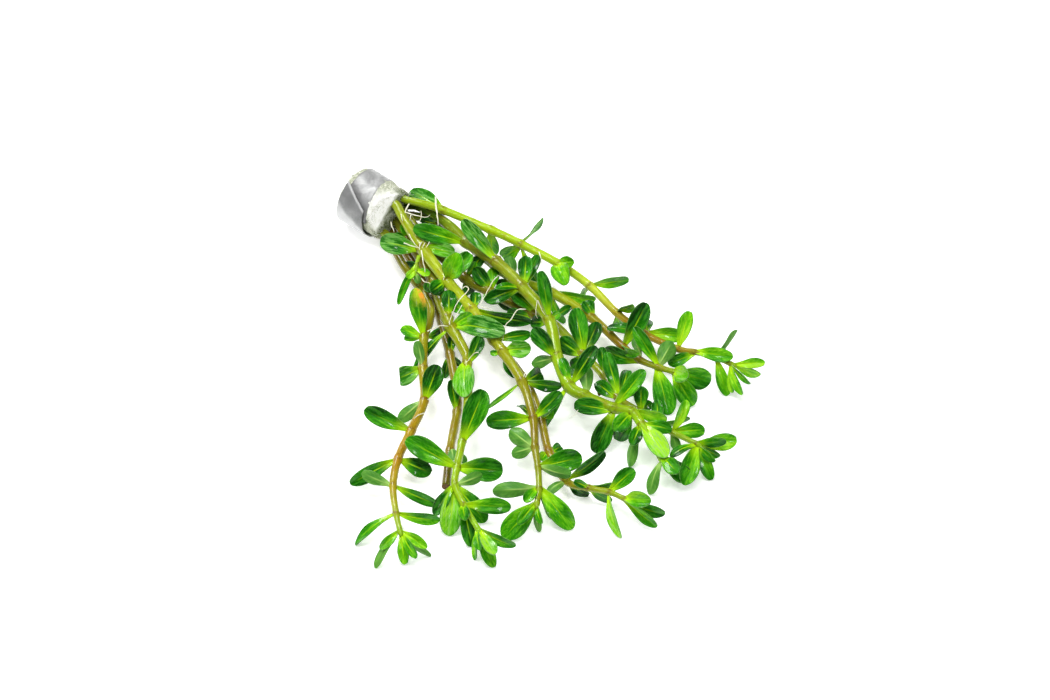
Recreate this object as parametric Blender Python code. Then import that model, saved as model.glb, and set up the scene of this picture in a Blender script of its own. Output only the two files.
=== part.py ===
# Bonsai rotala: a bunch of leafy shoots held in a rock wool plug by a wrapped metal strip, lying down.
#
# The bunch is drawn as it is seen from in front and VIEW_ELEVATION above the table. A place is given in
# millimetres as (across, up, height): across and up as seen, and the height above the table. A leaf is
# given from its node as (across, up, width, toward, roll): how far its tip lies across and up as seen,
# its width, how far the tip leans toward the eye, and how far the blade is rolled from facing the eye.
# A stem's radii are stops: (share of its length, radius), even before the first and straight between.

import math

import bmesh
import bpy
from mathutils import Matrix, Vector

MM = 0.001
VIEW_ELEVATION = math.radians(47.0)
SEEN_UP = Vector((0.0, math.sin(VIEW_ELEVATION), math.cos(VIEW_ELEVATION)))
TO_EYE = Vector((0.0, -math.cos(VIEW_ELEVATION), math.sin(VIEW_ELEVATION)))
FRAME_SHIFT = Vector((0.32, 14.33, 0.0)) * MM

FIT_GAP = 0.3 * MM
TABLE_GAP = 0.06 * MM
LIFT_TRIES = 6
LIFT_MARGIN = 1.05

PLUG_TURN = math.radians(-39.4)
PLUG_AXIS = Vector((math.cos(PLUG_TURN), math.sin(PLUG_TURN), 0.0))
PLUG_SIDE = Vector((-math.sin(PLUG_TURN), math.cos(PLUG_TURN), 0.0))
PLUG_RADIUS = 8.3 * MM
PLUG_LENGTH = 15.6 * MM
PLUG_SEGMENTS = 24
PLUG_EDGE_ROUNDING = 0.9 * MM
PLUG_FACE = (-47.4, 40.2)
PLUG_CUT_ANGLE = math.radians(128.0)
PLUG_CUT_RADIUS = 5.6 * MM
POCKET_DEPTH = 9.0 * MM
POCKET_SEGMENTS = 8
STEM_IN_POCKET = (POCKET_DEPTH - FIT_GAP, 2.5 * MM, -1.0 * MM)

STRIP_WIDTH = 10.0 * MM
STRIP_THICKNESS = 0.35 * MM
STRIP_RADIUS = PLUG_RADIUS + FIT_GAP
STRIP_STEP = math.radians(15.0)
STRIP_START = math.radians(172.5)
STRIP_STEPS = 28
STRIP_LAP_RISE = 0.65 * MM
STRIP_LAP_START = 18
STRIP_LAP_STEPS = 5
STRIP_LAP_SHIFT = 1.0 * MM
STRIP_SETBACK = 3.5 * MM
STRIP_ASKEW = 1.4 * MM
STRIP_ASKEW_ANGLE = math.radians(36.0)

STEM_SIDES = 6
STEM_STEP = 7.0 * MM
COLLAR_HALF = 0.65 * MM
BUD_RINGS = ((0.9 * MM, 0.8), (1.2 * MM, 0.5))
COLLAR_BIAS = 0.7

LEAF_THICKNESS = 0.42 * MM
LEAF_ARCH = 0.07
SMALL_LEAF = 8.0 * MM
LEAF_STATIONS = ((0.40, 0.78), (0.76, 1.0), (1.0, 0.36))
SMALL_LEAF_STATIONS = ((0.58, 1.0), (1.0, 0.38))

SHOOTS = [
    {
        "name": "shoot_far_right",
        "pocket": (4.4, 4.2),
        "radii": [(0.09, 1.15), (0.3, 1.3), (0.6, 1.25), (0.85, 1), (1, 0.75)],
        "colour": (0.30, 0.36, 0.03),
        "route": [
            (-40, 44.2, 13.6), (-32.7, 42, 13), (-18.3, 36, 12), (-9.3, 31.8, 11.2), (2.1, 25.8, 10.2),
            (11.4, 19.2, 9.5), (19.5, 11.1, 9), (27.9, 4.8, 8.6), (37.8, 0.3, 8.2), (42.9, -0.6, 8),
            (49.5, -2.4, 7.8), (53.7, -4.2, 7.6),
        ],
        "leaves": {
            1: [(-9.9, 5.7, 5.4, -8, 25)],
            2: [(0.3, -7.8, 4.6, -6, 0)],
            3: [(-5.4, -4.2, 5, -6, 0), (6.6, 7.8, 3.6, 3, 70), (8.1, -16.8, 3.8, -3, 40)],
            4: [(2.1, -6.3, 5.6, 7.5, 0), (4.5, 0.6, 4, 5, 0)],
            5: [(11.7, 2.1, 4.2, 0, 40), (-3.6, -4.2, 4, -6, 60)],
            6: [(4.8, 2.4, 3.6, 6, 50), (0.6, -3.6, 3.8, -6, 0)],
            7: [(11.7, -0.6, 4.5, -1, 0), (-11.4, 1.8, 4, 0, 35), (0.6, 4.2, 4, -6.5, 0)],
            8: [(3.3, 11.4, 4.5, 0, 0)],
            9: [(-8.1, -3.6, 3.9, 0, 0), (11.4, -1.5, 4.5, 4, 0)],
            10: [(3, -11.4, 3.9, 0, 0), (6, 8.4, 3.4, 0, 65)],
            11: [(0.3, -8.7, 2.6, 0.5, 30), (3.3, -9.3, 2.8, 3.5, 30), (5.7, -6, 2.2, 6.5, 50)],
            12: [(9.3, 0.9, 3.2, 1, 0), (7.8, -3, 3, -2, 30)],
        },
    },
    {
        "name": "shoot_right_inner",
        "pocket": (4.9, -3.1),
        "radii": [(0.1, 1.25), (0.3, 1.4), (0.6, 1.5), (0.85, 1.2), (1, 0.85)],
        "colour": (0.30, 0.33, 0.04),
        "route": [
            (-41.4, 40.2, 6.6), (-33.6, 38.4, 6.8), (-21.6, 28.8, 8.2), (-12, 21.6, 8.3), (0, 17.1, 7.8),
            (12, 9.6, 7.2), (21.3, 0.9, 7.2), (26.4, -3, 7.4), (31.8, -5.1, 7.6), (36.6, -6.6, 7.8),
        ],
        "leaves": {
            0: [(4.2, -0.6, 3.4, -1, 0)],
            1: [(-5.7, 0.6, 3, 0, -25)],
            3: [(-4.5, -2.7, 3.6, -1, 0), (-1.2, 6.3, 4.2, -1.5, 0)],
            4: [(13.2, -1.8, 3.8, 0, 30), (3.9, -9, 3.4, -3, 40), (-7.5, -2.1, 4.2, -2, 0)],
            5: [(-2.1, 5.1, 4.2, -1, 12), (3, -4.5, 4, -4, 20)],
            6: [(7.2, 13.2, 6, 1, 6), (4.8, -1.8, 3.6, 8.5, 50)],
            7: [(-10.5, 3, 5.2, -5, -20), (-1.8, 6.6, 2.6, -2, 20)],
            8: [(-7.2, 12, 4.4, 0, 0), (3.3, -14.4, 7.2, 0, 0), (4.2, 7.5, 5.6, -3, 0)],
            9: [(5.7, -10.2, 6.4, 0, 0), (4.2, -1.2, 5.4, 7, 0)],
            10: [(10.2, -2.1, 6.8, 0, 12)],
        },
    },
    {
        "name": "shoot_crossing",
        "pocket": (6, 0.6),
        "radii": [(0.09, 1.4), (0.28, 1.85), (0.72, 1.8), (0.88, 1.45), (1, 1)],
        "colour": (0.27, 0.32, 0.04),
        "route": [
            (-40.2, 43.2, 10.4), (-34.2, 39.9, 9.9), (-29.1, 35.7, 11.6), (-25.8, 32.4, 12.4),
            (-16.8, 26.4, 12.8), (-9, 18.9, 12.2), (-0.9, 9, 11.6), (1.5, -2.1, 11), (5.1, -10.8, 10.4),
            (9.9, -13.8, 10), (18.6, -17.4, 9.4), (24, -18.6, 9), (27, -22.5, 8.6), (30, -27.3, 8.2),
            (32.7, -32.4, 7.6),
        ],
        "leaves": {
            3: [(-15.9, 4.2, 5.6, 2.5, 0)],
            4: [(-10.2, 12.6, 4.8, 0, 0)],
            5: [
                (-11.1, -4.2, 5, 2, 10), (1.2, 9.3, 4.6, -3, 0), (4.8, 9.6, 3.4, -7, 0),
                (-8.1, -0.3, 2.4, 4, 30),
            ],
            6: [
                (-2.7, 14.7, 4.4, 0, 10), (3.3, 2.1, 2.8, 1, 0), (-5.4, -0.6, 4, -5, 0),
                (6.6, 4.2, 2.4, -2, 0),
            ],
            7: [(-7.2, 8.7, 5.4, 0, 0), (-7.5, -2.1, 4, -3, 20), (5.4, -5.4, 4, -4, 40)],
            8: [(8.1, 12, 4.8, 0, 0), (-8.4, -13.2, 4.6, -1.5, 37), (-2.4, 8.4, 3.2, -3.5, 0)],
            9: [(0.3, 9, 4.6, -6.5, 0)],
            10: [(9.3, 11.4, 4.8, 0, 0), (-5.7, -13.5, 6, 0, 0), (-12, 1.2, 5.2, -0.5, 0)],
            11: [(-5.4, -5.7, 5.2, 6, 0), (10.5, -2.4, 4.2, 2, 26), (-4.2, -8.7, 5.2, -4, 0)],
            12: [
                (7.5, -9.6, 6, 10, -6), (-3.6, -12.6, 4, 0, 40), (-3, -6, 4, 5.5, 0),
                (9, -1.5, 4.2, 0, -12),
            ],
            14: [(8.7, -6.6, 6, -4, 0), (5.1, -4.5, 4.8, 6, -6)],
            15: [(-3.6, -10.2, 4, 0, 30)],
        },
    },
    {
        "name": "shoot_right_low",
        "pocket": (2.2, 1.2),
        "radii": [(0.1, 1.25), (0.3, 1.55), (0.5, 1.4), (0.75, 1.2), (1, 0.8)],
        "colour": (0.32, 0.31, 0.05),
        "route": [
            (-43, 39.6, 9.6), (-36.6, 31.5, 8.8), (-26.1, 21.6, 7.6), (-18.6, 17.4, 6.8),
            (-5.1, 10.5, 5.8), (1.2, 7.2, 5.4), (9.3, -1.2, 5.2), (15.6, -7.8, 5.2), (19.8, -14.4, 5.4),
            (26.4, -18.6, 5.6), (31.5, -22.2, 5.8), (36, -24.6, 6), (43.5, -28.2, 6.4),
        ],
        "leaves": {
            2: [(5.4, 6.9, 4, -3, -25), (3.3, 4.8, 2.4, 3, 30), (1.8, -4.8, 4.2, -2, 0)],
            3: [
                (1.2, 7.2, 3.8, -2, 0), (0.6, -3.6, 4.2, 5, 0), (6.6, -4.8, 5, -3.5, -25),
                (-4.8, 7.2, 4.6, 0, 0),
            ],
            4: [(-8.4, 0.9, 3.9, -1.5, -20), (-6.9, 6.9, 5, -1.5, 25)],
            6: [
                (-2.4, 13.8, 6, -1.5, 0), (-7.2, 4.2, 5.6, -2, -12), (-3.3, -4.2, 3.6, -1, 0),
                (4.5, 9.6, 4.6, -3, 0),
            ],
            7: [(-1.5, -6, 1.6, 0, 0), (-0.9, 8.7, 3.6, -2, 0)],
            8: [
                (-3.6, 13.8, 4.4, -3, 0), (6.6, 4.2, 4.2, -5, 0), (3, 8.4, 3.6, -8.5, 0),
                (-6.6, 4.8, 4.4, -3.5, 0),
            ],
            9: [(0.3, 7.8, 4.6, -1, 0), (3.6, 3, 3, -1, 0)],
            10: [(9.9, 1.8, 3.4, 0, 60), (0, 7.2, 3.6, -3, 0)],
            11: [(4.5, 9.6, 3.6, 0, 20), (9.9, 0.6, 4.8, -2, 0), (1.8, -5.4, 3, -1, 0)],
            12: [
                (4.5, -10.8, 4, 0, 0), (-3.9, -12.3, 6, 7, -12), (-8.1, -3.9, 3.4, 3.5, 42),
                (8.7, 0.9, 3.4, 5, 25),
            ],
            13: [(11.1, 1.5, 5.4, 0, 0), (6, -3.3, 3, -1, 35), (4.5, -4.8, 3, 3.5, 35)],
        },
    },
    {
        "name": "shoot_middle",
        "pocket": (0, 5.3),
        "radii": [(0.08, 1.4), (0.22, 1.8), (0.55, 1.6), (0.8, 1.25), (1, 0.85)],
        "colour": (0.36, 0.26, 0.06),
        "route": [
            (-45.3, 40.8, 14.2), (-42, 35.4, 13.4), (-39, 30.6, 12.6), (-31.5, 20.7, 11.4),
            (-24, 12, 10.4), (-17.4, 3, 9.8), (-14.7, -0.6, 9.5), (-9, -9.6, 9), (-5.7, -20.4, 8.5),
            (-5.1, -29.1, 8), (-4.2, -35.1, 7.8), (-3.9, -41.4, 7.4), (-4.5, -45.9, 7),
        ],
        "leaves": {
            2: [(-12.6, 2.1, 6.2, -2, 0), (9.9, -1.8, 4.6, -0.5, -12)],
            3: [(3.6, 8.4, 6.4, 5, 0), (-4.8, -3.3, 5, 4.5, 0), (6.9, 8.4, 5, -2, 0)],
            4: [(18, -3.6, 4.2, 2, 25), (-6.3, 1.5, 3.6, -2.5, 0), (1.2, 5.4, 3.4, -3, 0)],
            5: [(11.1, 1.8, 3.6, -3, 0)],
            6: [(8.4, 1.2, 5.8, 3, 0), (4.5, -7.8, 4, 1.5, 20), (-3.9, -0.3, 1.8, 0, 0)],
            7: [(12, -1.2, 4, -0.5, 20), (5.7, 3, 5.6, -5, 12), (-10.2, -7.8, 1.4, -2, 0)],
            8: [(8.4, 7.8, 4.8, 0, 0), (-14.1, -0.9, 6, 0, 0), (-4.5, 3.6, 3.2, -7.5, 50)],
            9: [(-7.5, 5.1, 5.4, -4, 0), (-6.9, -2.1, 4.4, -2.5, 15)],
            10: [(13.2, 3, 7.2, 0, 0), (9.9, -2.4, 4, 5, 25)],
            11: [
                (-13.8, -0.9, 5.2, 0, 0), (10.2, -12.3, 6.6, 0, 0), (4.5, -9, 4.2, -3, -36),
                (-4.2, -4.2, 3.6, 4.5, 20),
            ],
            12: [(-10.2, -10.5, 7.4, 0, 0), (-5.7, -6.3, 3.4, 5, 0)],
            13: [(0.9, -7.8, 2.8, -2, 40), (1.5, -5.4, 2.4, 3.5, 40)],
        },
    },
    {
        "name": "shoot_middle_low",
        "pocket": (2.2, -5.4),
        "radii": [(0.1, 1.2), (0.8, 1.3), (1, 0.8)],
        "colour": (0.36, 0.24, 0.06),
        "route": [
            (-41.8, 34.8, 4.4), (-33.6, 23.4, 4.5), (-23.1, 10.8, 4.5), (-14.4, -0.6, 4.5),
            (-7.2, -10.5, 4.6), (-3.3, -21, 4.8), (-0.9, -30.6, 5), (4.2, -39.3, 5.4),
            (11.1, -41.4, 5.8), (17.1, -42.6, 6.2), (21.9, -44.7, 6.4),
        ],
        "leaves": {
            5: [(3.3, 3, 3.6, 3, 40)],
            6: [(-2.4, -2.4, 3.2, 3.5, 0), (3.6, 1.8, 3.2, -4, 0)],
            7: [(11.7, 8.7, 4.6, 1.5, 33), (-5.4, -3.6, 3.6, 3, 35), (6.9, -4.2, 3.6, -3, 40)],
            8: [(9, 1.2, 3.6, 0, 50), (6.9, -3.9, 3.4, -1, 40), (-4.5, 2.1, 2.4, 2, 0)],
            9: [(7.5, 6.9, 5, 0.5, 0), (3.6, -13.8, 3.6, 0, 40)],
            10: [(7.8, -0.6, 5.2, 5.5, 0), (9.6, -8.4, 3.6, 2, 25)],
            11: [(11.1, -4.2, 4.2, -1, 25)],
        },
    },
    {
        "name": "shoot_left_inner",
        "pocket": (0.2, -2.4),
        "radii": [(0.08, 1.3), (0.22, 1.7), (0.4, 1.8), (0.52, 1.4), (0.85, 1.15), (1, 0.85)],
        "colour": (0.36, 0.28, 0.06),
        "route": [
            (-45.6, 37, 6.9), (-43.2, 33, 7.2), (-38.1, 25.5, 7.6), (-35.7, 20.4, 7.8), (-31.5, 9.6, 8),
            (-30.3, 6.9, 8), (-26.1, -0.6, 8), (-25.5, -4.2, 8), (-25.2, -15, 7.9), (-27, -27.6, 7.8),
            (-28.5, -35.1, 7.6), (-29.1, -40.5, 7.4), (-26.4, -46.5, 7), (-22.2, -53.7, 6.6),
        ],
        "leaves": {
            1: [(-4.5, 0.9, 3.6, 2, 0), (-1.5, 5.1, 3, 1, 0)],
            2: [(-6, -0.9, 4.4, -4.5, 0)],
            3: [(-1.2, -3, 3.9, 6.5, 0)],
            4: [(0.6, 8.4, 4.6, -1.5, 0)],
            5: [(-11.4, -14.1, 4, 0, 50), (16.2, -1.8, 7, 8.5, -22), (6.3, 3.9, 3.6, 4, 0)],
            7: [(-0.6, -9.9, 7, 11.5, 15), (3.9, 8.4, 4.4, -2, 10)],
            9: [(6.6, 15.6, 7.4, 1, 0)],
            10: [(-15.3, 8.4, 6.6, 0, 0), (13.8, -1.2, 7.8, 0, 0)],
            11: [
                (8.1, 3, 3.8, -3.5, 0), (-1.8, -15.3, 7, 0, 0), (-6.3, -9, 4.2, 4, 10),
                (9.3, -11.1, 6, 0, 0),
            ],
            12: [(2.4, -12.6, 4.8, -3, 0), (14.1, -0.6, 5.2, 0, 0), (0.3, -4.5, 3.9, 6, 0)],
            13: [(11.4, -5.1, 3.6, 0, 25), (-0.9, -9.3, 2.6, 0, 50), (0.6, -6.3, 3, 5, 35)],
            14: [(4.2, -10.8, 4.2, -2, 0), (4.5, -6.9, 4.2, 7.5, -25)],
        },
    },
    {
        "name": "shoot_bare",
        "pocket": (-1.4, -5.6),
        "radii": [(0.1, 1.2), (0.4, 1.4), (1, 1.3)],
        "colour": (0.34, 0.18, 0.07),
        "cut_end": True,
        "route": [
            (-46.5, 33.2, 3.2), (-42, 26.4, 3), (-37.2, 18, 2.8), (-34.2, 11.4, 2.8), (-30.6, -1.5, 2.8),
            (-28.5, -13.5, 2.8), (-28.5, -18.6, 2.8), (-30.6, -30, 2.8), (-31.8, -41.1, 2.4),
        ],
        "leaves": {
            4: [(-1.5, -6.9, 3, 1, 8), (3.3, -3, 2.6, 0, 40), (0.6, 6, 2.6, -2, 0)],
            6: [(-1.8, 9.6, 3.6, -1, 15)],
            7: [(1.2, -3, 3, 5.5, 0), (4.8, -3.9, 3, 0, 0)],
        },
    },
    {
        "name": "shoot_left",
        "pocket": (-5.2, -2.9),
        "radii": [(0.08, 1.25), (0.45, 1.4), (0.75, 1.35), (1, 0.85)],
        "colour": (0.38, 0.24, 0.06),
        "route": [
            (-49, 33.6, 5.9), (-47.1, 30, 6), (-44.1, 24.6, 6.2), (-36.9, 14.1, 6.2), (-36.9, 8.4, 6.2),
            (-38.4, 3.9, 6.2), (-38.7, -5.4, 6.4), (-38.4, -15.3, 6.6), (-42.3, -24.3, 6.8),
            (-46.2, -32.7, 6.8), (-47.7, -40.8, 6.8), (-46.8, -48.9, 6.6), (-45.6, -54.3, 6.4),
        ],
        "leaves": {
            5: [
                (-2.7, 14.7, 5.4, 0, 0), (4.8, 2.1, 3.6, -3, 40), (-6.9, 2.7, 3.4, 0, 0),
                (-6, -0.3, 2.2, -2, 0),
            ],
            6: [(-8.4, -3.6, 6.2, 0, 0), (-1.8, 8.1, 3.6, 0, 30)],
            7: [(4.2, 10.8, 6.2, 0, 0), (-7.5, -6, 4.2, 0, 10)],
            8: [(-14.1, 6.3, 5.6, 0, 0)],
            9: [(-14.4, -7.5, 5, 0, 0), (9.9, -4.2, 5.6, 0, 0)],
            10: [(-9.3, 3.9, 3.8, -2, 0), (13.5, -5.7, 3.8, 0, 15)],
            11: [(-12.3, -9.6, 3.6, 0, 45), (13.2, -2.1, 3.8, 0, 20)],
            12: [
                (-6, -5.4, 3, 3, 0), (8.1, -5.1, 3.6, 3, 0), (-7.5, -11.1, 3, 0, 38),
                (9.3, -7.5, 2.6, -2, 40),
            ],
            13: [(1.2, -9.3, 3.2, 1, 0), (4.8, -7.2, 3, 5, 25)],
        },
    },
]

SIDE_SHOOT = {
    "name": "side_shoot",
    "radii": [(0, 0.6), (1, 0.45)],
    "colour": (0.40, 0.45, 0.04),
    "route": [(-39.9, 28.2, 13.2), (-40.5, 26.2, 12.6), (-40.8, 24, 11.8)],
    "leaves": {
        1: [(-5.7, -12.6, 2.4, 0, 20)],
        2: [(-2.7, -2.4, 2.6, 1, 0), (4.2, -1.2, 2.4, 1, 0)],
        3: [(0.9, -3, 2, 0, 0)],
    },
}


def seen(across, up, height):
    """The point at this height above the table that is seen at across and up."""
    y = (up - height * math.cos(VIEW_ELEVATION)) / math.sin(VIEW_ELEVATION)
    return Vector((across, y, height)) * MM + FRAME_SHIFT


def new_object(name, bm, colour, roughness, metallic=0.0):
    """One named object with its own Principled material."""
    mesh = bpy.data.meshes.new(name)
    bm.to_mesh(mesh)
    bm.free()
    mesh.shade_smooth()
    mesh.set_sharp_from_angle(angle=math.radians(35.0))
    material = bpy.data.materials.new(name + "_finish")
    material.use_nodes = True
    shader = material.node_tree.nodes["Principled BSDF"]
    shader.inputs["Base Color"].default_value = (*colour, 1.0)
    shader.inputs["Roughness"].default_value = roughness
    shader.inputs["Metallic"].default_value = metallic
    mesh.materials.append(material)
    piece = bpy.data.objects.new(name, mesh)
    bpy.context.scene.collection.objects.link(piece)
    return piece


def plug_face_centre():
    height = (PLUG_RADIUS + FIT_GAP + STRIP_THICKNESS) * math.cos(STRIP_STEP / 2) / MM
    return seen(PLUG_FACE[0], PLUG_FACE[1], height)


def plug_point(side, rise, back):
    """A point of the plug: side and rise from its axis, back from its leafy face."""
    return plug_face_centre() + PLUG_SIDE * side + Vector((0, 0, rise)) - PLUG_AXIS * back


def plug_matrix(back, side=0.0, rise=0.0):
    """Turns local +Z to the plug's axis, with the origin at this place of the plug."""
    turn = Vector((0, 0, 1)).rotation_difference(PLUG_AXIS).to_matrix().to_4x4()
    return Matrix.Translation(plug_point(side, rise, back)) @ turn


def make_plug():
    """The rock wool plug: round, with rounded rims, one corner cut off and a pocket for each stem."""
    bm = bmesh.new()
    bmesh.ops.create_cone(
        bm,
        cap_ends=True,
        segments=PLUG_SEGMENTS,
        radius1=PLUG_RADIUS,
        radius2=PLUG_RADIUS,
        depth=PLUG_LENGTH,
        matrix=plug_matrix(PLUG_LENGTH / 2),
    )
    rims = [edge for edge in bm.edges if any(len(face.verts) > 4 for face in edge.link_faces)]
    bmesh.ops.bevel(
        bm, geom=rims, offset=PLUG_EDGE_ROUNDING, segments=1, profile=0.5, affect="EDGES", material=-1
    )
    radial = PLUG_SIDE * math.cos(PLUG_CUT_ANGLE) + Vector((0, 0, math.sin(PLUG_CUT_ANGLE)))
    slope_in = PLUG_RADIUS - PLUG_CUT_RADIUS
    cut_normal = (PLUG_AXIS * slope_in + radial * STRIP_SETBACK).normalized()
    bmesh.ops.bisect_plane(
        bm,
        geom=bm.verts[:] + bm.edges[:] + bm.faces[:],
        plane_co=plug_face_centre() + radial * PLUG_CUT_RADIUS,
        plane_no=cut_normal,
        clear_outer=True,
    )
    rim = [edge for edge in bm.edges if edge.is_boundary]
    bmesh.ops.contextual_create(bm, geom=rim)
    bmesh.ops.recalc_face_normals(bm, faces=bm.faces)
    plug = new_object("wool_plug", bm, (0.72, 0.74, 0.66), 0.95)
    for shoot in SHOOTS:
        cut_pocket(plug, shoot)
    return plug


def cut_pocket(plug, shoot):
    """A straight pocket in the plug's leafy face, a little wider than the stem."""
    side, rise = (value * MM for value in shoot["pocket"])
    radius = (stem_radius(shoot, 0.0) + FIT_GAP) / math.cos(math.pi / POCKET_SEGMENTS)
    bm = bmesh.new()
    bmesh.ops.create_cone(
        bm,
        cap_ends=True,
        segments=POCKET_SEGMENTS,
        radius1=radius,
        radius2=radius,
        depth=2 * POCKET_DEPTH,
        matrix=plug_matrix(0.0, side, rise),
    )
    cutter = new_object("pocket_cutter_" + shoot["name"], bm, (0.5, 0.5, 0.5), 0.5)
    cutter.hide_render = True
    cutter.display_type = "WIRE"
    cut = plug.modifiers.new("pocket_" + shoot["name"], "BOOLEAN")
    cut.operation = "DIFFERENCE"
    cut.solver = "EXACT"
    cut.object = cutter


def strip_ring(step):
    """Angle and inner radius of the wrapped strip after this many steps, and how far back each edge is."""
    angle = STRIP_START - step * STRIP_STEP
    lap = min(max((step - STRIP_LAP_START) / STRIP_LAP_STEPS, 0.0), 1.0)
    near = STRIP_SETBACK + STRIP_LAP_SHIFT * lap
    askew = STRIP_ASKEW * (1 + math.cos(angle - STRIP_ASKEW_ANGLE))
    return angle, STRIP_RADIUS + STRIP_LAP_RISE * lap, (near + STRIP_WIDTH, near + askew)


def make_strip():
    """The metal strip: one turn round the plug and a lapped end, with its leafy edge cut askew."""
    bm = bmesh.new()
    bmesh.ops.create_cube(bm, size=1.0)
    corners = {vert: tuple(1 if part > 0 else 0 for part in vert.co) for vert in bm.verts}

    def place(vert, step, outer, front):
        angle, radius, edges = strip_ring(step)
        reach = radius + outer * STRIP_THICKNESS
        radial = PLUG_SIDE * math.cos(angle) + Vector((0, 0, math.sin(angle)))
        vert.co = plug_point(0, 0, edges[front]) + radial * reach

    for vert, (outer, along, front) in corners.items():
        place(vert, along, outer, front)
    end = next(face for face in bm.faces if all(corners[vert][1] == 1 for vert in face.verts))
    marks = [(corners[vert][0], corners[vert][2]) for vert in end.verts]
    for step in range(2, STRIP_STEPS + 1):
        end = bmesh.ops.extrude_discrete_faces(bm, faces=[end])["faces"][0]
        for vert, (outer, front) in zip(end.verts, marks):
            place(vert, step, outer, front)
    bmesh.ops.recalc_face_normals(bm, faces=bm.faces)
    return new_object("metal_strip", bm, (0.62, 0.62, 0.64), 0.35, 1.0)


def smooth_route(points, steps=10):
    """A smooth curve through the points, with the length along it at each given point."""
    ends = [points[0] * 2 - points[1]] + points + [points[-1] * 2 - points[-2]]
    curve = [points[0].copy()]
    marks = [0.0]
    length = 0.0
    for index in range(len(points) - 1):
        a, b, c, d = ends[index : index + 4]
        for step in range(1, steps + 1):
            t = step / steps
            point = (
                b * 2 + (c - a) * t + (a * 2 - b * 5 + c * 4 - d) * t * t + (b * 3 - a - c * 3 + d) * t**3
            ) * 0.5
            length += (point - curve[-1]).length
            curve.append(point)
        marks.append(length)
    return curve, marks


def at_length(curve, length):
    """The point and the direction of the curve at this length along it."""
    for start, end in zip(curve, curve[1:]):
        span = (end - start).length
        if length <= span or end is curve[-1]:
            direction = (end - start).normalized()
            return start + direction * length, direction
        length -= span


def stem_stations(shoot, marks, nodes, total):
    """Lengths of the stem's rings, and for each node the pair of lengths of its collar."""
    collars = {node: (marks[node] - COLLAR_HALF, marks[node] + COLLAR_HALF) for node in nodes}
    stops = {total}
    for pair in collars.values():
        stops.update(length for length in pair if length < total - COLLAR_HALF / 2)
    if "pocket" in shoot:
        stops.add(marks[len(STEM_IN_POCKET) - 1])
    lengths = [0.0]
    for length in sorted(stops):
        gap = length - lengths[-1]
        fill = max(1, round(gap / STEM_STEP))
        start = lengths[-1]
        lengths += [start + gap * (part + 1) / fill for part in range(fill)]
    return lengths, collars


def shoot_points(shoot):
    """The stem's own points: from the bottom of its pocket, straight out of the plug, then its route."""
    points = [seen(*place) for place in shoot["route"]]
    if "pocket" in shoot:
        side, rise = (value * MM for value in shoot["pocket"])
        points = [plug_point(side, rise, back) for back in STEM_IN_POCKET] + points
    return points


def node_of(shoot, index):
    return index + (len(STEM_IN_POCKET) if "pocket" in shoot else 0)


def stem_radius(shoot, share):
    """The stem's radius at this share of its length."""
    stops = shoot["radii"]
    share = min(max(share, stops[0][0]), stops[-1][0])
    for (start, before), (end, after) in zip(stops, stops[1:]):
        if share <= end:
            return (before + (after - before) * (share - start) / (end - start)) * MM


def grow_stem(shoot):
    """The stem as a six-sided tube, with the free side faces of the collar at each node."""
    curve, marks = smooth_route(shoot_points(shoot))
    nodes = [node_of(shoot, index) for index in shoot["leaves"] if index < len(shoot["route"])]
    total = marks[-1] + (0.0 if shoot.get("cut_end") else COLLAR_HALF)
    lengths, collars = stem_stations(shoot, marks, nodes, total)
    size = stem_radius(shoot, 0.0)
    first, direction = at_length(curve, 0.0)
    bm = bmesh.new()
    bmesh.ops.create_cone(
        bm, cap_ends=True, segments=STEM_SIDES, radius1=size, radius2=size, depth=lengths[1] - lengths[0]
    )
    turn = Vector((0, 0, 1)).rotation_difference(direction).to_matrix().to_4x4()
    middle = first + direction * (lengths[1] / 2)
    bmesh.ops.transform(bm, matrix=Matrix.Translation(middle) @ turn, verts=bm.verts)
    caps = [face for face in bm.faces if len(face.verts) == STEM_SIDES]
    end = max(caps, key=lambda face: face.normal.dot(direction))
    centre = first + direction * lengths[1]
    free = {}
    for length in lengths[2:]:
        point, onward = at_length(curve, length)
        radius = stem_radius(shoot, length / total)
        sides = extend_tube(bm, end, centre, direction, point, onward, radius / size)
        end = sides.pop()
        for node, pair in collars.items():
            if abs(pair[1] - length) < COLLAR_HALF / 2:
                free[node] = sides
        centre, direction, size = point, onward, radius
    if not shoot.get("cut_end"):
        free[node_of(shoot, len(shoot["route"]))] = grow_bud(bm, end, centre, direction)
    bm.normal_update()
    return bm, curve, marks, free


def grow_bud(bm, end, centre, direction):
    """The bud beyond the last node, closing to a blunt tip. Returns the faces its leaves grow from."""
    faces = []
    reach, share = 0.0, 1.0
    for next_reach, next_share in BUD_RINGS:
        start = centre + direction * reach
        onward = centre + direction * next_reach
        sides = extend_tube(bm, end, start, direction, onward, direction, next_share / share)
        end = sides.pop()
        faces = faces or sides
        reach, share = next_reach, next_share
    return faces


def extend_tube(bm, end, centre, direction, point, onward, scale):
    """Extrudes the tube's end face to the next ring. Returns the new side faces and then the new end."""
    turn = direction.rotation_difference(onward)
    offsets = [turn @ (vert.co - centre) * scale for vert in end.verts]
    new_end = bmesh.ops.extrude_discrete_faces(bm, faces=[end])["faces"][0]
    for vert, offset in zip(new_end.verts, offsets):
        vert.co = point + offset
    sides = [face for edge in new_end.edges for face in edge.link_faces if face is not new_end]
    return sides + [new_end]


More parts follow.
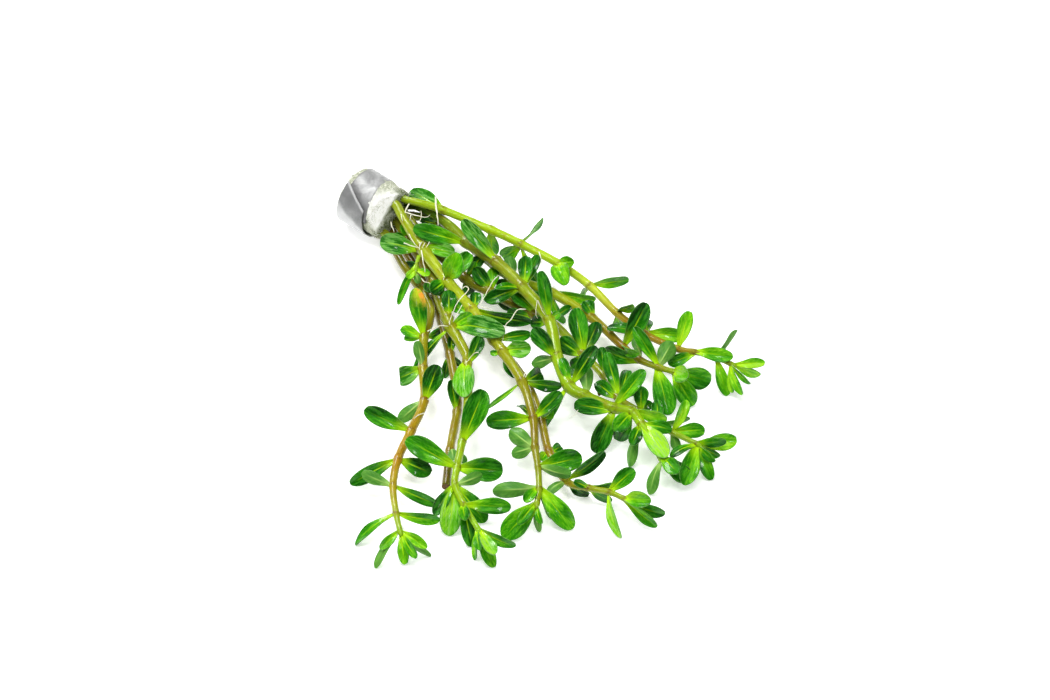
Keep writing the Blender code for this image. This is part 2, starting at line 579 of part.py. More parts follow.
def blade(base, tip, width, roll):
    """Cross-sections of a leaf blade, each as its centre, half width and half thickness vectors."""
    span = tip - base
    axis = span.normalized()
    facing = (TO_EYE - axis * TO_EYE.dot(axis)).normalized()
    facing.rotate(Matrix.Rotation(math.radians(roll), 3, axis))
    across = facing.cross(axis)
    stations = SMALL_LEAF_STATIONS if span.length < SMALL_LEAF else LEAF_STATIONS
    sections = []
    for along, share in stations:
        arch = facing * (span.length * LEAF_ARCH * math.sin(math.pi * along))
        centre = base + span * along + arch
        sections.append((centre, across * (width * share / 2), facing * (LEAF_THICKNESS / 2)))
    return sections


def section_corners(section):
    centre, across, facing = section
    right, left = centre + across, centre - across
    return [right + facing, left + facing, left - facing, right - facing]


def over_table(base, tip, width, roll):
    """The tip, moved toward the eye until the whole blade is above the table."""
    for _ in range(LIFT_TRIES):
        sections = blade(base, tip, width, roll)
        lowest = min(corner.z for section in sections for corner in section_corners(section))
        if lowest >= TABLE_GAP:
            break
        tip = tip + TO_EYE * ((TABLE_GAP - lowest) / TO_EYE.z * LIFT_MARGIN)
    return tip


def grow_leaf(bm, faces, node, leaf):
    """Extrudes the free collar face that looks most toward the leaf's tip into its blade."""
    base, tip = leaf_line(node, leaf)
    outward = tip - node["point"]
    outward = outward - node["direction"] * (outward.dot(node["direction"]) * COLLAR_BIAS)
    face = max(faces, key=lambda side: side.normal.dot(outward))
    faces.remove(face)
    start = face.calc_center_median()
    corners = None
    for section in blade(base, tip, leaf[2] * MM, leaf[4]):
        targets = section_corners(section)
        if corners is None:
            corners = best_turn(face, start, section, targets)
        face = bmesh.ops.extrude_discrete_faces(bm, faces=[face])["faces"][0]
        for vert, corner in zip(face.verts, corners):
            vert.co = targets[corner]


def best_turn(face, start, section, targets):
    """Which corner of a section each corner of the base face goes to, with the least twist."""

    def twist(turn):
        total = 0.0
        for index, vert in enumerate(face.verts):
            target = targets[(index + turn) % 4] - section[0]
            total -= (vert.co - start).normalized().dot(target.normalized())
        return total

    turn = min(range(4), key=twist)
    return [(index + turn) % 4 for index in range(4)]


def leaf_line(node, leaf):
    """Where the leaf leaves the stem and where its tip is."""
    across, up, width, toward, roll = leaf
    tip = node["point"] + (Vector((across, 0, 0)) + SEEN_UP * up + TO_EYE * toward) * MM
    offset = tip - node["point"]
    outward = (offset - node["direction"] * offset.dot(node["direction"])).normalized()
    base = node["point"] + outward * node["radius"]
    return base, over_table(base, tip, width * MM, roll)


def stem_node(shoot, index, curve, marks):
    """The place, direction and radius of the stem at a point of its route, or at its bud."""
    mark = node_of(shoot, index)
    if mark == len(marks):
        end, direction = at_length(curve, marks[-1])
        reach, share = BUD_RINGS[0]
        point = end + direction * (COLLAR_HALF + reach / 2)
        return {"point": point, "direction": direction, "radius": stem_radius(shoot, 1.0) * share}
    point, direction = at_length(curve, marks[mark])
    radius = stem_radius(shoot, marks[mark] / marks[-1])
    return {"point": point, "direction": direction, "radius": radius}


def make_shoot(shoot):
    """One shoot: its stem, with every leaf grown out of a face of the stem."""
    bm, curve, marks, free = grow_stem(shoot)
    for index, leaves in shoot["leaves"].items():
        node = stem_node(shoot, index, curve, marks)
        for leaf in leaves:
            grow_leaf(bm, free[node_of(shoot, index)], node, leaf)
    bmesh.ops.recalc_face_normals(bm, faces=bm.faces)
    return new_object(shoot["name"], bm, shoot["colour"], 0.4)


def main():
    for leftover in list(bpy.data.objects):
        bpy.data.objects.remove(leftover)
    make_plug()
    make_strip()
    for shoot in SHOOTS + [SIDE_SHOOT]:
        make_shoot(shoot)


main()
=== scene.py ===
import math
import random

import bmesh
import bpy
from mathutils import Matrix, Vector, noise


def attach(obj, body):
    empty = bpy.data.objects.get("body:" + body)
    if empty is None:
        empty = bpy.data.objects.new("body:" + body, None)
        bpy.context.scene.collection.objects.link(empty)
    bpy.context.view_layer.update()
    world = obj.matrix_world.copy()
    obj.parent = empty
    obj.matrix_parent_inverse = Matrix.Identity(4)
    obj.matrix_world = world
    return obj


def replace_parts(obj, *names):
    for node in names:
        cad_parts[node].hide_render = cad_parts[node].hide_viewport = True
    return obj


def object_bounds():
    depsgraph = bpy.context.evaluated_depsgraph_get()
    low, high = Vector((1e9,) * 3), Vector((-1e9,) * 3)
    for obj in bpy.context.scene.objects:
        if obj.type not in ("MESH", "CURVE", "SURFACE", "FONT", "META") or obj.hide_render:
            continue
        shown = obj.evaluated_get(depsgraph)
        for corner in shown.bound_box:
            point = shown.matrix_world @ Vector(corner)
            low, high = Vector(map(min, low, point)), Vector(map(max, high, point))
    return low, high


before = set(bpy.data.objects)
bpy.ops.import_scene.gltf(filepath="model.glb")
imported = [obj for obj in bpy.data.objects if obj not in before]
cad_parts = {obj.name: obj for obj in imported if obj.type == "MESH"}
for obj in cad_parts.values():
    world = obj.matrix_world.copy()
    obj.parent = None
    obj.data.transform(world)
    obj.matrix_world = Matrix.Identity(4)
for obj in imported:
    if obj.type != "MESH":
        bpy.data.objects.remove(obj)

# Bonsai rotala bunch, lying down: leafy shoots in a rock wool plug with a soft metal strip round it.
# A place is (across, up, height) in mm: across and up as the camera sees it, height over the table.
# A leaf is (across, up, width, toward, roll, look) from its node: where its tip is seen, its width,
# how far the tip leans to the camera, and the turn of the blade in degrees from facing the camera.

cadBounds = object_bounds()
mm = 0.001
cameraTilt = math.radians(47)
seenUp = Vector((0, math.sin(cameraTilt), math.cos(cameraTilt)))
toEye = Vector((0, -math.cos(cameraTilt), math.sin(cameraTilt)))
upright = Vector((0, 0, 1))
bunchShift = Vector((0.32, 14.33, 0)) * mm
tableGap = 0.06 * mm


def seen(across, up, height):
    away = (up - height * math.cos(cameraTilt)) / math.sin(cameraTilt)
    return Vector((across, away, height)) * mm + bunchShift


# Camera, lights and table

studio = {
    "centre": (-8.1, 0, 0),
    "frameWidth": 0.315,
    "cameraDistance": 0.6,
    "skyStrength": 0.07,
    # each lamp: place, width, power, and whether its own shape shines in gloss
    "lamps": {
        "backLamp": ((-0.26, 0.42, 0.56), 0.2, 2.6, True),
        "topLamp": ((-0.1, 0.0, 1.0), 0.6, 6.4, False),
        "leftLamp": ((-0.85, -0.25, 0.5), 0.5, 3.4, False),
        "rightLamp": ((0.85, -0.35, 0.5), 0.5, 2.8, False),
        "leftGlint": ((-0.3, 0.0, 0.9), 0.1, 1.0, True),
        "rightGlint": ((0.22, -0.3, 0.85), 0.1, 0.9, True),
    },
    "tableSize": 3.0,
    "tableColour": (0.9, 0.9, 0.9),
    "tableGlow": 0.45,
}


def addCamera():
    data = bpy.data.cameras.new("photoCamera")
    data.type = "ORTHO"
    data.ortho_scale = studio["frameWidth"]
    camera = bpy.data.objects.new("photoCamera", data)
    camera.location = seen(*studio["centre"]) + toEye * studio["cameraDistance"]
    camera.rotation_euler = (-toEye).to_track_quat("-Z", "Y").to_euler()
    bpy.context.scene.collection.objects.link(camera)
    bpy.context.scene.camera = camera


def addLights():
    world = bpy.data.worlds.new("softStudio")
    world.use_nodes = True
    world.node_tree.nodes["Background"].inputs["Color"].default_value = (1, 1, 1, 1)
    world.node_tree.nodes["Background"].inputs["Strength"].default_value = studio["skyStrength"]
    bpy.context.scene.world = world
    for name, (place, width, power, shines) in studio["lamps"].items():
        data = bpy.data.lights.new(name, "AREA")
        data.shape = "SQUARE"
        data.size = width
        data.energy = power
        lamp = bpy.data.objects.new(name, data)
        lamp.location = place
        lamp.rotation_euler = (-lamp.location).to_track_quat("-Z", "Y").to_euler()
        lamp.visible_glossy = shines
        bpy.context.scene.collection.objects.link(lamp)
    bpy.context.scene.view_settings.view_transform = "Standard"


# Node material helpers

gloss = {  # plain numbers on each finish's own sockets
    "leafTop": {"Specular IOR Level": 0.12, "Coat Weight": 0.32, "Coat Roughness": 0.1},
    "leafUnder": {
        "Roughness": 0.38, "Specular IOR Level": 0.2, "Coat Weight": 0.08, "Coat Roughness": 0.15,
    },
    "stemSkin": {
        "Roughness": 0.26, "Specular IOR Level": 0.3, "Coat Weight": 0.3, "Coat Roughness": 0.12,
    },
    "cutFace": {"Roughness": 0.8},
    "rootSkin": {"Roughness": 0.5},
    "rockWool": {"Roughness": 0.92},
    "woolFibre": {"Roughness": 0.7},
    "softMetal": {"Metallic": 0.35},
    "tablePaint": {"Roughness": 0.9},
}


def ink(red, green, blue):  # sRGB bytes to the linear colour that sockets take
    return tuple(((part / 255 + 0.055) / 1.055) ** 2.4 for part in (red, green, blue))


def newFinish(name):
    finish = bpy.data.materials.new(name)
    finish.use_nodes = True
    shader = finish.node_tree.nodes["Principled BSDF"]
    for socket, number in gloss[name].items():
        shader.inputs[socket].default_value = number
    return finish, finish.node_tree, shader


def feed(tree, socket, value):  # a number, a colour or another node's output
    if isinstance(value, bpy.types.NodeSocket):
        tree.links.new(value, socket)
    elif isinstance(value, tuple) and len(value) == 3 and socket.type == "RGBA":
        socket.default_value = (*value, 1)
    else:
        socket.default_value = value


def mathOf(tree, operation, first, second=0.0):
    node = tree.nodes.new("ShaderNodeMath")
    node.operation = operation
    feed(tree, node.inputs[0], first)
    feed(tree, node.inputs[1], second)
    return node.outputs[0]


def total(tree, first, *others):
    for other in others:
        first = mathOf(tree, "ADD", first, other)
    return first


def product(tree, first, *others):
    for other in others:
        first = mathOf(tree, "MULTIPLY", first, other)
    return first


def swing(tree, value, size):  # noise of 0 to 1 as a swing about zero
    return product(tree, mathOf(tree, "SUBTRACT", value, 0.5), size)


def fade(tree, value, start, end, atStart=0.0, atEnd=1.0):  # smooth step between two values
    node = tree.nodes.new("ShaderNodeMapRange")
    node.interpolation_type = "SMOOTHSTEP"
    for socket, number in zip(node.inputs, (value, start, end, atStart, atEnd)):
        feed(tree, socket, number)
    return node.outputs[0]


def mixOf(tree, share, first, second, blend="MIX"):
    node = tree.nodes.new("ShaderNodeMix")
    node.data_type = "RGBA"
    node.blend_type = blend
    for index, value in ((0, share), (6, first), (7, second)):  # 6 and 7 are the colour sockets
        feed(tree, node.inputs[index], value)
    return node.outputs[2]


def rampOf(tree, value, stops):
    node = tree.nodes.new("ShaderNodeValToRGB")
    ramp = node.color_ramp
    while len(ramp.elements) < len(stops):
        ramp.elements.new(0.5)
    for element, (place, colour) in zip(ramp.elements, stops):
        element.position = place
        element.color = (*colour, 1)
    feed(tree, node.inputs[0], value)
    return node.outputs[0]


def noiseOf(tree, vector, scale, detail=3.0, roughness=0.55, distortion=0.0):
    node = tree.nodes.new("ShaderNodeTexNoise")
    settings = {"Scale": scale, "Detail": detail, "Roughness": roughness, "Distortion": distortion}
    for socket, value in (settings | {"Vector": vector}).items():
        feed(tree, node.inputs[socket], value)
    return node.outputs["Fac"]


def objectPlace(tree):
    return tree.nodes.new("ShaderNodeTexCoord").outputs["Object"]


def ownValue(tree, name, output="Vector"):  # a value that the mesh carries at its points
    node = tree.nodes.new("ShaderNodeAttribute")
    node.attribute_name = name
    return node.outputs[output]


def parts(tree, vector):
    node = tree.nodes.new("ShaderNodeSeparateXYZ")
    feed(tree, node.inputs[0], vector)
    return node.outputs[:3]


def dress(tree, shader, colour, height, depth, strength=1.0):  # the colour, and a bump in metres
    tree.links.new(colour, shader.inputs["Base Color"])
    node = tree.nodes.new("ShaderNodeBump")
    for socket, value in (("Strength", strength), ("Distance", depth), ("Height", height)):
        feed(tree, node.inputs[socket], value)
    tree.links.new(node.outputs[0], shader.inputs["Normal"])


# Leaf, stem and root finishes

leafInks = {
    "deep": ink(5, 56, 0),
    "dark": ink(16, 92, 0),
    "mid": ink(50, 142, 0),
    "bright": ink(108, 194, 8),
    "light": ink(160, 222, 34),
    "base": ink(184, 232, 18),
    # pale grey-green: a pale tint, and the colour of the painted sheen
    "paleSheen": ink(134, 190, 96),
    # lighter grey-green for the painted highlight along a blade's rim
    "rim": ink(92, 160, 50),
    "under": ink(104, 164, 60),
    "underDark": ink(44, 108, 34),
    "underRib": ink(176, 216, 108),
    "brown": ink(96, 78, 34),
    "spot": ink(178, 196, 34),
    "spotCore": ink(240, 148, 60),
}
leafPattern = {
    "stops": {"deep": 0.0, "dark": 0.18, "mid": 0.5, "bright": 0.8, "light": 1.0},
    "veinSlant": 1.25,
    "veinWobble": 1.1,
    "veinPitch": 3.9,  # radians a mm
    "grain": (1.5, 0.22, 40),  # across, along, and from leaf to leaf
    "blotch": (260, 0.55),  # scale and strength, as the next ones
    "underBlotch": (240, 0.7),
    "ragged": (500, 0.5),
    "paintedHalfShade": 0.2,  # painted light and shade between the two halves of a blade
    "bump": (0.12 * mm, 0.8),
}


def leafMasks(tree):
    side, along, chance = parts(tree, ownValue(tree, "bladePlace"))
    acrossMm, alongMm, _ = parts(tree, ownValue(tree, "bladeMm"))
    offRib = mathOf(tree, "ABSOLUTE", acrossMm)
    rib = product(tree, fade(tree, offRib, 0.06, 0.3, 1, 0), fade(tree, along, 0.4, 0.93, 1, 0))
    rib = product(tree, rib, fade(tree, chance, 0.0, 0.7, 0.25, 1))
    near = product(tree, fade(tree, along, 0.0, 0.4, 1, 0), fade(tree, offRib, 0.1, 2.6, 1, 0.35))
    # side veins leave the rib at a slant and bend a little
    slant = product(tree, offRib, leafPattern["veinSlant"])
    wobble = product(tree, noiseOf(tree, objectPlace(tree), 500, 1), leafPattern["veinWobble"])
    phase = total(tree, mathOf(tree, "SUBTRACT", alongMm, slant), wobble)
    wave = mathOf(tree, "SINE", product(tree, phase, leafPattern["veinPitch"]))
    veins = product(tree, fade(tree, wave, 0.72, 1.0), fade(tree, offRib, 0.2, 0.7))
    grain = tree.nodes.new("ShaderNodeCombineXYZ")
    for socket, value, size in zip(grain.inputs, (acrossMm, alongMm, chance), leafPattern["grain"]):
        feed(tree, socket, product(tree, value, size))
    streaks = fade(tree, noiseOf(tree, grain.outputs[0], 1.0, 3, 0.6), 0.35, 0.68, -0.5, 0.5)
    return {
        "side": side, "along": along, "chance": chance, "rib": rib, "near": near, "veins": veins,
        "streaks": streaks,
    }


def makeLeafTop():
    finish, tree, shader = newFinish("leafTop")
    masks = leafMasks(tree)
    names = ("side", "along", "rib", "veins", "streaks")
    side, along, rib, veins, streaks = (masks[name] for name in names)
    tone, pale, special = parts(tree, ownValue(tree, "bladeLook"))
    place = objectPlace(tree)
    scale, strength = leafPattern["blotch"]
    blotch = swing(tree, noiseOf(tree, place, scale, 4), strength)
    offMiddle = mathOf(tree, "ABSOLUTE", side)
    # one half of each blade is painted lighter and the other darker: painted light and shade
    paintedHalfShade = leafPattern["paintedHalfShade"]
    paintedHalfShade = product(tree, side, fade(tree, masks["chance"], 0.0, 1.0, -paintedHalfShade, paintedHalfShade))
    # a blade is brightest by the stem and darkest round its rim and tip
    lengthwise = fade(tree, along, 0.05, 0.75, 0.24, -0.02)
    edge = fade(tree, offMiddle, 0.5, 0.98, 0, -0.08)
    value = total(
        tree, tone, blotch, lengthwise, edge, product(tree, veins, 0.1), product(tree, streaks, 0.26), paintedHalfShade
    )
    stops = [(share, leafInks[name]) for name, share in leafPattern["stops"].items()]
    colour = rampOf(tree, value, stops)
    # pale grey streaks along the blade: painted sheen, stronger where a look is pale
    paintedSheen = product(tree, total(tree, pale, 0.05), fade(tree, streaks, -0.2, 0.4, 0.1, 1.5))
    colour = mixOf(tree, paintedSheen, colour, leafInks["paleSheen"])
    # a lighter rim round each blade: painted highlight on its edge
    colour = mixOf(tree, fade(tree, offMiddle, 0.88, 1.0, 0, 0.5), colour, leafInks["rim"])
    glow = mathOf(tree, "MAXIMUM", masks["near"], product(tree, rib, 0.7))
    colour = mixOf(tree, glow, colour, leafInks["base"])
    colour = mixOf(tree, fade(tree, special, -0.9, -0.1, 1, 0), colour, leafInks["brown"])
    # the yellow patch lies near the tip, on one side of the rib
    scale, strength = leafPattern["ragged"]
    ragged = swing(tree, noiseOf(tree, place, scale, 3), strength)
    reach = total(tree, along, ragged)
    aside = total(tree, side, ragged)
    patch = product(tree, fade(tree, reach, 0.5, 0.9), fade(tree, aside, -1.1, 0.1))
    patch = product(tree, patch, fade(tree, special, 0.3, 0.8))
    colour = mixOf(tree, patch, colour, leafInks["spot"])
    core = product(tree, patch, fade(tree, aside, 0.2, 0.6), fade(tree, reach, 0.9, 1.02, 0.85, 0))
    colour = mixOf(tree, core, colour, leafInks["spotCore"])
    rough = fade(tree, noiseOf(tree, place, 700, 3), 0.3, 0.7, 0.2, 0.34)
    tree.links.new(rough, shader.inputs["Roughness"])
    height = total(
        tree, product(tree, rib, -1.0), product(tree, veins, -0.45), product(tree, streaks, 0.9),
        product(tree, noiseOf(tree, place, 900, 3), 0.5),
    )
    dress(tree, shader, colour, height, *leafPattern["bump"])
    return finish


def makeLeafUnder():
    finish, tree, shader = newFinish("leafUnder")
    masks = leafMasks(tree)
    tone, pale, special = parts(tree, ownValue(tree, "bladeLook"))
    place = objectPlace(tree)
    scale, strength = leafPattern["underBlotch"]
    blotch = swing(tree, noiseOf(tree, place, scale, 4), strength)
    value = total(
        tree, tone, blotch, product(tree, masks["veins"], 0.2), product(tree, masks["streaks"], 0.4)
    )
    colour = mixOf(tree, value, leafInks["underDark"], leafInks["under"])
    colour = mixOf(tree, product(tree, pale, 0.8), colour, leafInks["paleSheen"])
    glow = product(tree, mathOf(tree, "MAXIMUM", masks["near"], masks["rib"]), 0.8)
    colour = mixOf(tree, glow, colour, leafInks["underRib"])
    colour = mixOf(tree, fade(tree, special, -0.9, -0.1, 1, 0), colour, leafInks["brown"])
    fine = noiseOf(tree, place, 1000, 3)
    height = total(tree, masks["rib"], product(tree, masks["veins"], 0.5), product(tree, fine, 0.5))
    dress(tree, shader, colour, height, *leafPattern["bump"])
    return finish


stemInks = {
    "scar": ink(92, 52, 20),
    "streak": ink(104, 92, 14),
    "rust": ink(150, 84, 26),
    "paintedShine": ink(206, 224, 84),
    "cast": ink(230, 255, 140),
    "cutFace": ink(70, 40, 22),
    "cutPith": ink(122, 84, 44),
}


def makeStemSkin():
    finish, tree, shader = newFinish("stemSkin")
    turn = tree.nodes.new("ShaderNodeMapping")
    turn.inputs["Scale"].default_value = (1.6, 1.6, 0.16)
    tree.links.new(ownValue(tree, "bladeMm"), turn.inputs["Vector"])
    lines = noiseOf(tree, turn.outputs[0], 1.6, 4, 0.6)
    place = objectPlace(tree)
    colour = mixOf(tree, 1.0, ownValue(tree, "stemTint", "Color"), stemInks["cast"], "MULTIPLY")
    colour = mixOf(tree, fade(tree, lines, 0.52, 0.72, 0, 0.45), colour, stemInks["streak"])
    # pale stripes along the stem: painted highlight
    colour = mixOf(tree, fade(tree, lines, 0.28, 0.46, 0.5, 0), colour, stemInks["paintedShine"])
    blotch = fade(tree, noiseOf(tree, place, 420, 3), 0.52, 0.75, 0, 0.3)
    colour = mixOf(tree, blotch, colour, stemInks["rust"])
    scar = fade(tree, noiseOf(tree, place, 800, 3), 0.42, 0.62)
    scar = product(tree, ownValue(tree, "stemTint", "Alpha"), scar, 0.7)
    colour = mixOf(tree, scar, colour, stemInks["scar"])
    height = total(tree, lines, product(tree, noiseOf(tree, place, 1400, 3), 0.4))
    dress(tree, shader, colour, height, 0.18 * mm, 0.7)
    return finish


def makeGrained(name, scale, dark, light, bump):  # dark and light are (place on the ramp, colour)
    finish, tree, shader = newFinish(name)
    grain = noiseOf(tree, objectPlace(tree), scale, 3)
    dress(tree, shader, rampOf(tree, grain, [dark, light]), grain, *bump)
    return finish


def makeCutFace():
    ramp = (0.3, stemInks["cutFace"]), (0.7, stemInks["cutPith"])
    return makeGrained("cutFace", 1800, *ramp, (0.2 * mm, 1.0))


def makeRootSkin():
    ramp = (0.3, ink(218, 214, 176)), (0.65, ink(246, 245, 226))
    return makeGrained("rootSkin", 600, *ramp, (0.1 * mm, 0.6))


# Growing shoots

plug = {
    "paintedLitReach": 2.2 * mm,  # round the cut corner, where the wool is painted white as a lit face
    "swell": 0.6 * mm,  # against the upper edge of the band
    "turn": math.radians(-39.4),
    "radius": 8.3 * mm,
    "length": 15.6 * mm,
    "rim": 0.9 * mm,
    "face": (-47.4, 40.2),
    "cutAngle": math.radians(128),
    "cutRadius": 5.6 * mm,
    "segments": 120,
    "ringStep": 0.35 * mm,
    "capSteps": 12,
    "rimSteps": 4,
    "roughness": 0.32 * mm,
    "wetReach": 3.4 * mm,  # from the leafy face
    "swellReach": 1.4 * mm,
    "swellOffset": 0.2 * mm,  # behind the edge of the band
    "lowFrom": 0.35,  # share of the radius under which the wool lies pressed
    "pores": (900, 0.8, 2.2, 4),  # scale, then what noise.fractal takes
    "lumps": (260, 0.5),
}
strip = {
    "width": 10 * mm,
    "thickness": 0.35 * mm,
    "radius": plug["radius"] + 0.3 * mm,
    "stepAngle": math.radians(15),
    "startAngle": math.radians(172.5),
    "steps": 28,
    "lapRise": 0.65 * mm,
    "lapStart": 18,
    "lapSteps": 5,
    "lapShift": 1 * mm,
    "setback": 3.5 * mm,
    "askew": 1.4 * mm,
    "askewAngle": math.radians(36),
    "slant": 5.2 * mm,
    "facesAcross": 26,
    "facesPerStep": 7,
    "dent": 0.22 * mm,
    "turnSteps": 24,  # once round
    "facetSteps": 5,
    "shadeSteps": 1.6,
    "crease": (0.9, 5.5),  # noise scale along and across the strip
    "fineCrease": 2.7,
}
plugAxis = Vector((math.cos(plug["turn"]), math.sin(plug["turn"]), 0))
plugSide = Vector((-math.sin(plug["turn"]), math.cos(plug["turn"]), 0))
plugHeight = (strip["radius"] + strip["thickness"]) * math.cos(strip["stepAngle"] / 2)


def plugPoint(side, rise, back):
    centre = seen(*plug["face"], plugHeight / mm)
    return centre + plugSide * side + upright * rise - plugAxis * back


stemForm = {
    "inPocket": (8.7 * mm, 2.5 * mm, -1 * mm),
    "sides": 16,
    "ringStep": 0.8 * mm,
    "nodeSwell": 0.16,
    "nodeReach": 1.1 * mm,
    "scarReach": 0.9 * mm,
    "unevenness": 0.07,
    "bud": ((0.5, 0.95), (1.0, 0.82), (1.5, 0.6), (1.9, 0.36), (2.1, 0.12)),
    "budLeaves": (1.1, 0.8),  # mm past the end, and their share of the radius there
    "swayLength": 6 * mm,
    "patternRadius": 1.2,
    "skinGrain": (900, 0.03),  # noise scale, and its share of the radius
    "nodeGrain": (2600, 0.1),
}


def smoothRoute(points, steps=10):  # a smooth curve through the points, and its length at each of them
    ends = [points[0] * 2 - points[1]] + points + [points[-1] * 2 - points[-2]]
    curve = [points[0].copy()]
    marks = [0.0]
    length = 0.0
    for index in range(len(points) - 1):
        a, b, c, d = ends[index : index + 4]
        for step in range(1, steps + 1):
            t = step / steps
            point = (
                b * 2 + (c - a) * t + (a * 2 - b * 5 + c * 4 - d) * t * t + (b * 3 - a - c * 3 + d) * t**3
            ) * 0.5
            length += (point - curve[-1]).length
            curve.append(point)
        marks.append(length)
    return curve, marks


def atLength(curve, length):
    for start, end in zip(curve, curve[1:]):
        span = (end - start).length
        if length <= span or end is curve[-1]:
            direction = (end - start).normalized()
            return start + direction * length, direction
        length -= span


def sweep(bm, sides, stations, finish=0):
    # a tube through stations of (point, direction, radius), each ring extruded from the last
    point, direction, radius = stations[0]
    turn = upright.rotation_difference(direction).to_matrix().to_4x4()
    place = Matrix.Translation(point) @ turn
    made = bmesh.ops.create_circle(bm, cap_ends=True, segments=sides, radius=radius, matrix=place)
    end = made["verts"][0].link_faces[0]
    rings = [list(end.verts)]
    firstEdges = list(end.edges)
    skin = []
    for nextPoint, nextDirection, nextRadius in stations[1:]:
        turn = direction.rotation_difference(nextDirection)
        offsets = [turn @ (vert.co - point) * (nextRadius / radius) for vert in end.verts]
        end = bmesh.ops.extrude_discrete_faces(bm, faces=[end])["faces"][0]
        for vert, offset in zip(end.verts, offsets):
            vert.co = nextPoint + offset
        skin += [face for edge in end.edges for face in edge.link_faces if face is not end]
        rings.append(list(end.verts))
        point, direction, radius = nextPoint, nextDirection, nextRadius
    start = bmesh.ops.contextual_create(bm, geom=firstEdges)["faces"]
    skin += [end] + start
    for face in skin:
        face.material_index = finish
        face.smooth = True
    return rings, skin, end


def clamp(value):
    return min(max(value, 0), 1)


def stemTintAt(colours, share):
    for (start, first), (stop, second) in zip(colours, colours[1:]):
        if share <= stop:
            blend = (share - start) / (stop - start)
            return [a + (b - a) * blend for a, b in zip(ink(*first), ink(*second))]
    return ink(*colours[-1][1])


def stemRadiusAt(stops, share):  # stops are (share of the length, radius in mm)
    share = min(max(share, stops[0][0]), stops[-1][0])
    for (start, first), (stop, second) in zip(stops, stops[1:]):
        if share <= stop:
            return (first + (second - first) * (share - start) / (stop - start)) * mm


def growStem(bm, layers, shoot, seed):
    points = [seen(*place) for place in shoot["route"]]
    if "pocket" in shoot:
        side, rise = (value * mm for value in shoot["pocket"])
        points = [plugPoint(side, rise, back) for back in stemForm["inPocket"]] + points
    curve, marks = smoothRoute(points)
    inPocket = len(points) - len(shoot["route"])
    nodes = [marks[index + inPocket] for index in shoot["leaves"] if index < len(shoot["route"])]
    long = marks[-1]
    stations = []
    lengths = []
    nearness = []
    count = round(long / stemForm["ringStep"])
    for ring in range(count + 1):
        length = long * ring / count
        point, direction = atLength(curve, length)
        gap = min(abs(length - node) for node in nodes)
        near = math.exp(-((gap / stemForm["nodeReach"]) ** 2))
        uneven = noise.noise(Vector((length / stemForm["swayLength"], seed, 0)))
        uneven *= stemForm["unevenness"]
        radius = stemRadiusAt(shoot["radii"], length / long)
        radius *= 1 + near * stemForm["nodeSwell"] + uneven
        stations.append((point, direction, radius))
        lengths.append(length)
        nearness.append(math.exp(-((gap / stemForm["scarReach"]) ** 2)))
    if not shoot.get("cutEnd"):
        point, direction, radius = stations[-1]
        for reach, share in stemForm["bud"]:
            stations.append((point + direction * reach * mm, direction, radius * share))
            lengths.append(long)
            nearness.append(0.0)
    rings, skin, end = sweep(bm, stemForm["sides"], stations)
    (broad, shallow), (fine, deep) = stemForm["skinGrain"], stemForm["nodeGrain"]
    if shoot.get("cutEnd"):
        end.material_index = 3
        end.smooth = False
    for ring, (point, direction, radius), length, near in zip(rings, stations, lengths, nearness):
        tint = stemTintAt(shoot["stemColours"], length / long)
        for index, vert in enumerate(ring):
            turn = 2 * math.pi * index / len(ring)
            vert[layers["stemTint"]] = (*tint, near)
            across = [side * stemForm["patternRadius"] for side in (math.cos(turn), math.sin(turn))]
            vert[layers["bladeMm"]] = (*across, length / mm + seed)
            bump = noise.noise(vert.co * broad) * shallow + noise.noise(vert.co * fine) * near * deep
            vert.co += (vert.co - point) * bump
    bmesh.ops.recalc_face_normals(bm, faces=skin)
    return curve, marks, inPocket


leafForm = {
    "acrossFaces": 12,
    "alongFaces": 26,
    "thickness": 0.28 * mm,
    "widest": 0.64,
    "baseShare": 0.24,
    "tipAngle": (math.radians(56), math.radians(78)),
    "arch": (0.02, 0.13),
    "fold": (0.1, 0.48),
    "edgeRoll": (-0.06, 0.08),
    "twist": 14,
    "wave": 0.05,
    "inStem": 0.55,
    "cadThickness": 0.42 * mm,
    "cadArch": 0.07,
    "cadStations": ((0.4, 0.78), (0.76, 1.0), (1.0, 0.36)),  # share of the length, of the width
    "liftTries": 6,
    "liftMargin": 1.05,
    "swellPower": 1.25,
    "foldPower": 1.3,
    "waveTurns": 9,  # radians along the blade
    "toneSpread": 0.1,
    "youngShare": 0.8,  # of the shoot's length, from where leaves get lighter
    "youngTone": 0.14,
    "cutAt": 0.82,  # of the length
    "cutSlope": 0.35,
}
# pale lays pale grey-green streaks along a blade: partly its own colour, partly painted sheen
leafLooks = {
    "dark": {"tone": 0.2},
    "mid": {"tone": 0.42},
    "bright": {"tone": 0.68},
    "shade": {"tone": 0.06},
    "pale": {"tone": 0.68, "pale": 0.4},
    "light": {"tone": 0.98, "pale": 0.45, "fold": 0.2},
    "under": {"tone": 0.5, "under": True},
    "brown": {"tone": 0.2, "special": -1.0},
    "spotted": {"tone": 0.46, "special": 1.0, "fold": 0.3},
    "cut": {"tone": 0.3, "pale": 0.3, "cut": True},
    "curled": {"tone": 0.6, "fold": 0.45, "edgeRoll": 0.25},
    "cupped": {"tone": 0.72, "fold": 0.3, "edgeRoll": 0.35, "arch": 0.2},
    "glossy": {"tone": 0.3, "pale": 0.3, "fold": 0.25},
    "wet": {"tone": 0.26, "fold": 0.24},
    "thread": {"tone": 0.6, "pale": 0.3, "fold": 0.5},
}


def bladeFrame(base, tip, roll):
    axis = (tip - base).normalized()
    facing = (toEye - axis * toEye.dot(axis)).normalized()
    facing.rotate(Matrix.Rotation(math.radians(roll), 3, axis))
    return axis, facing


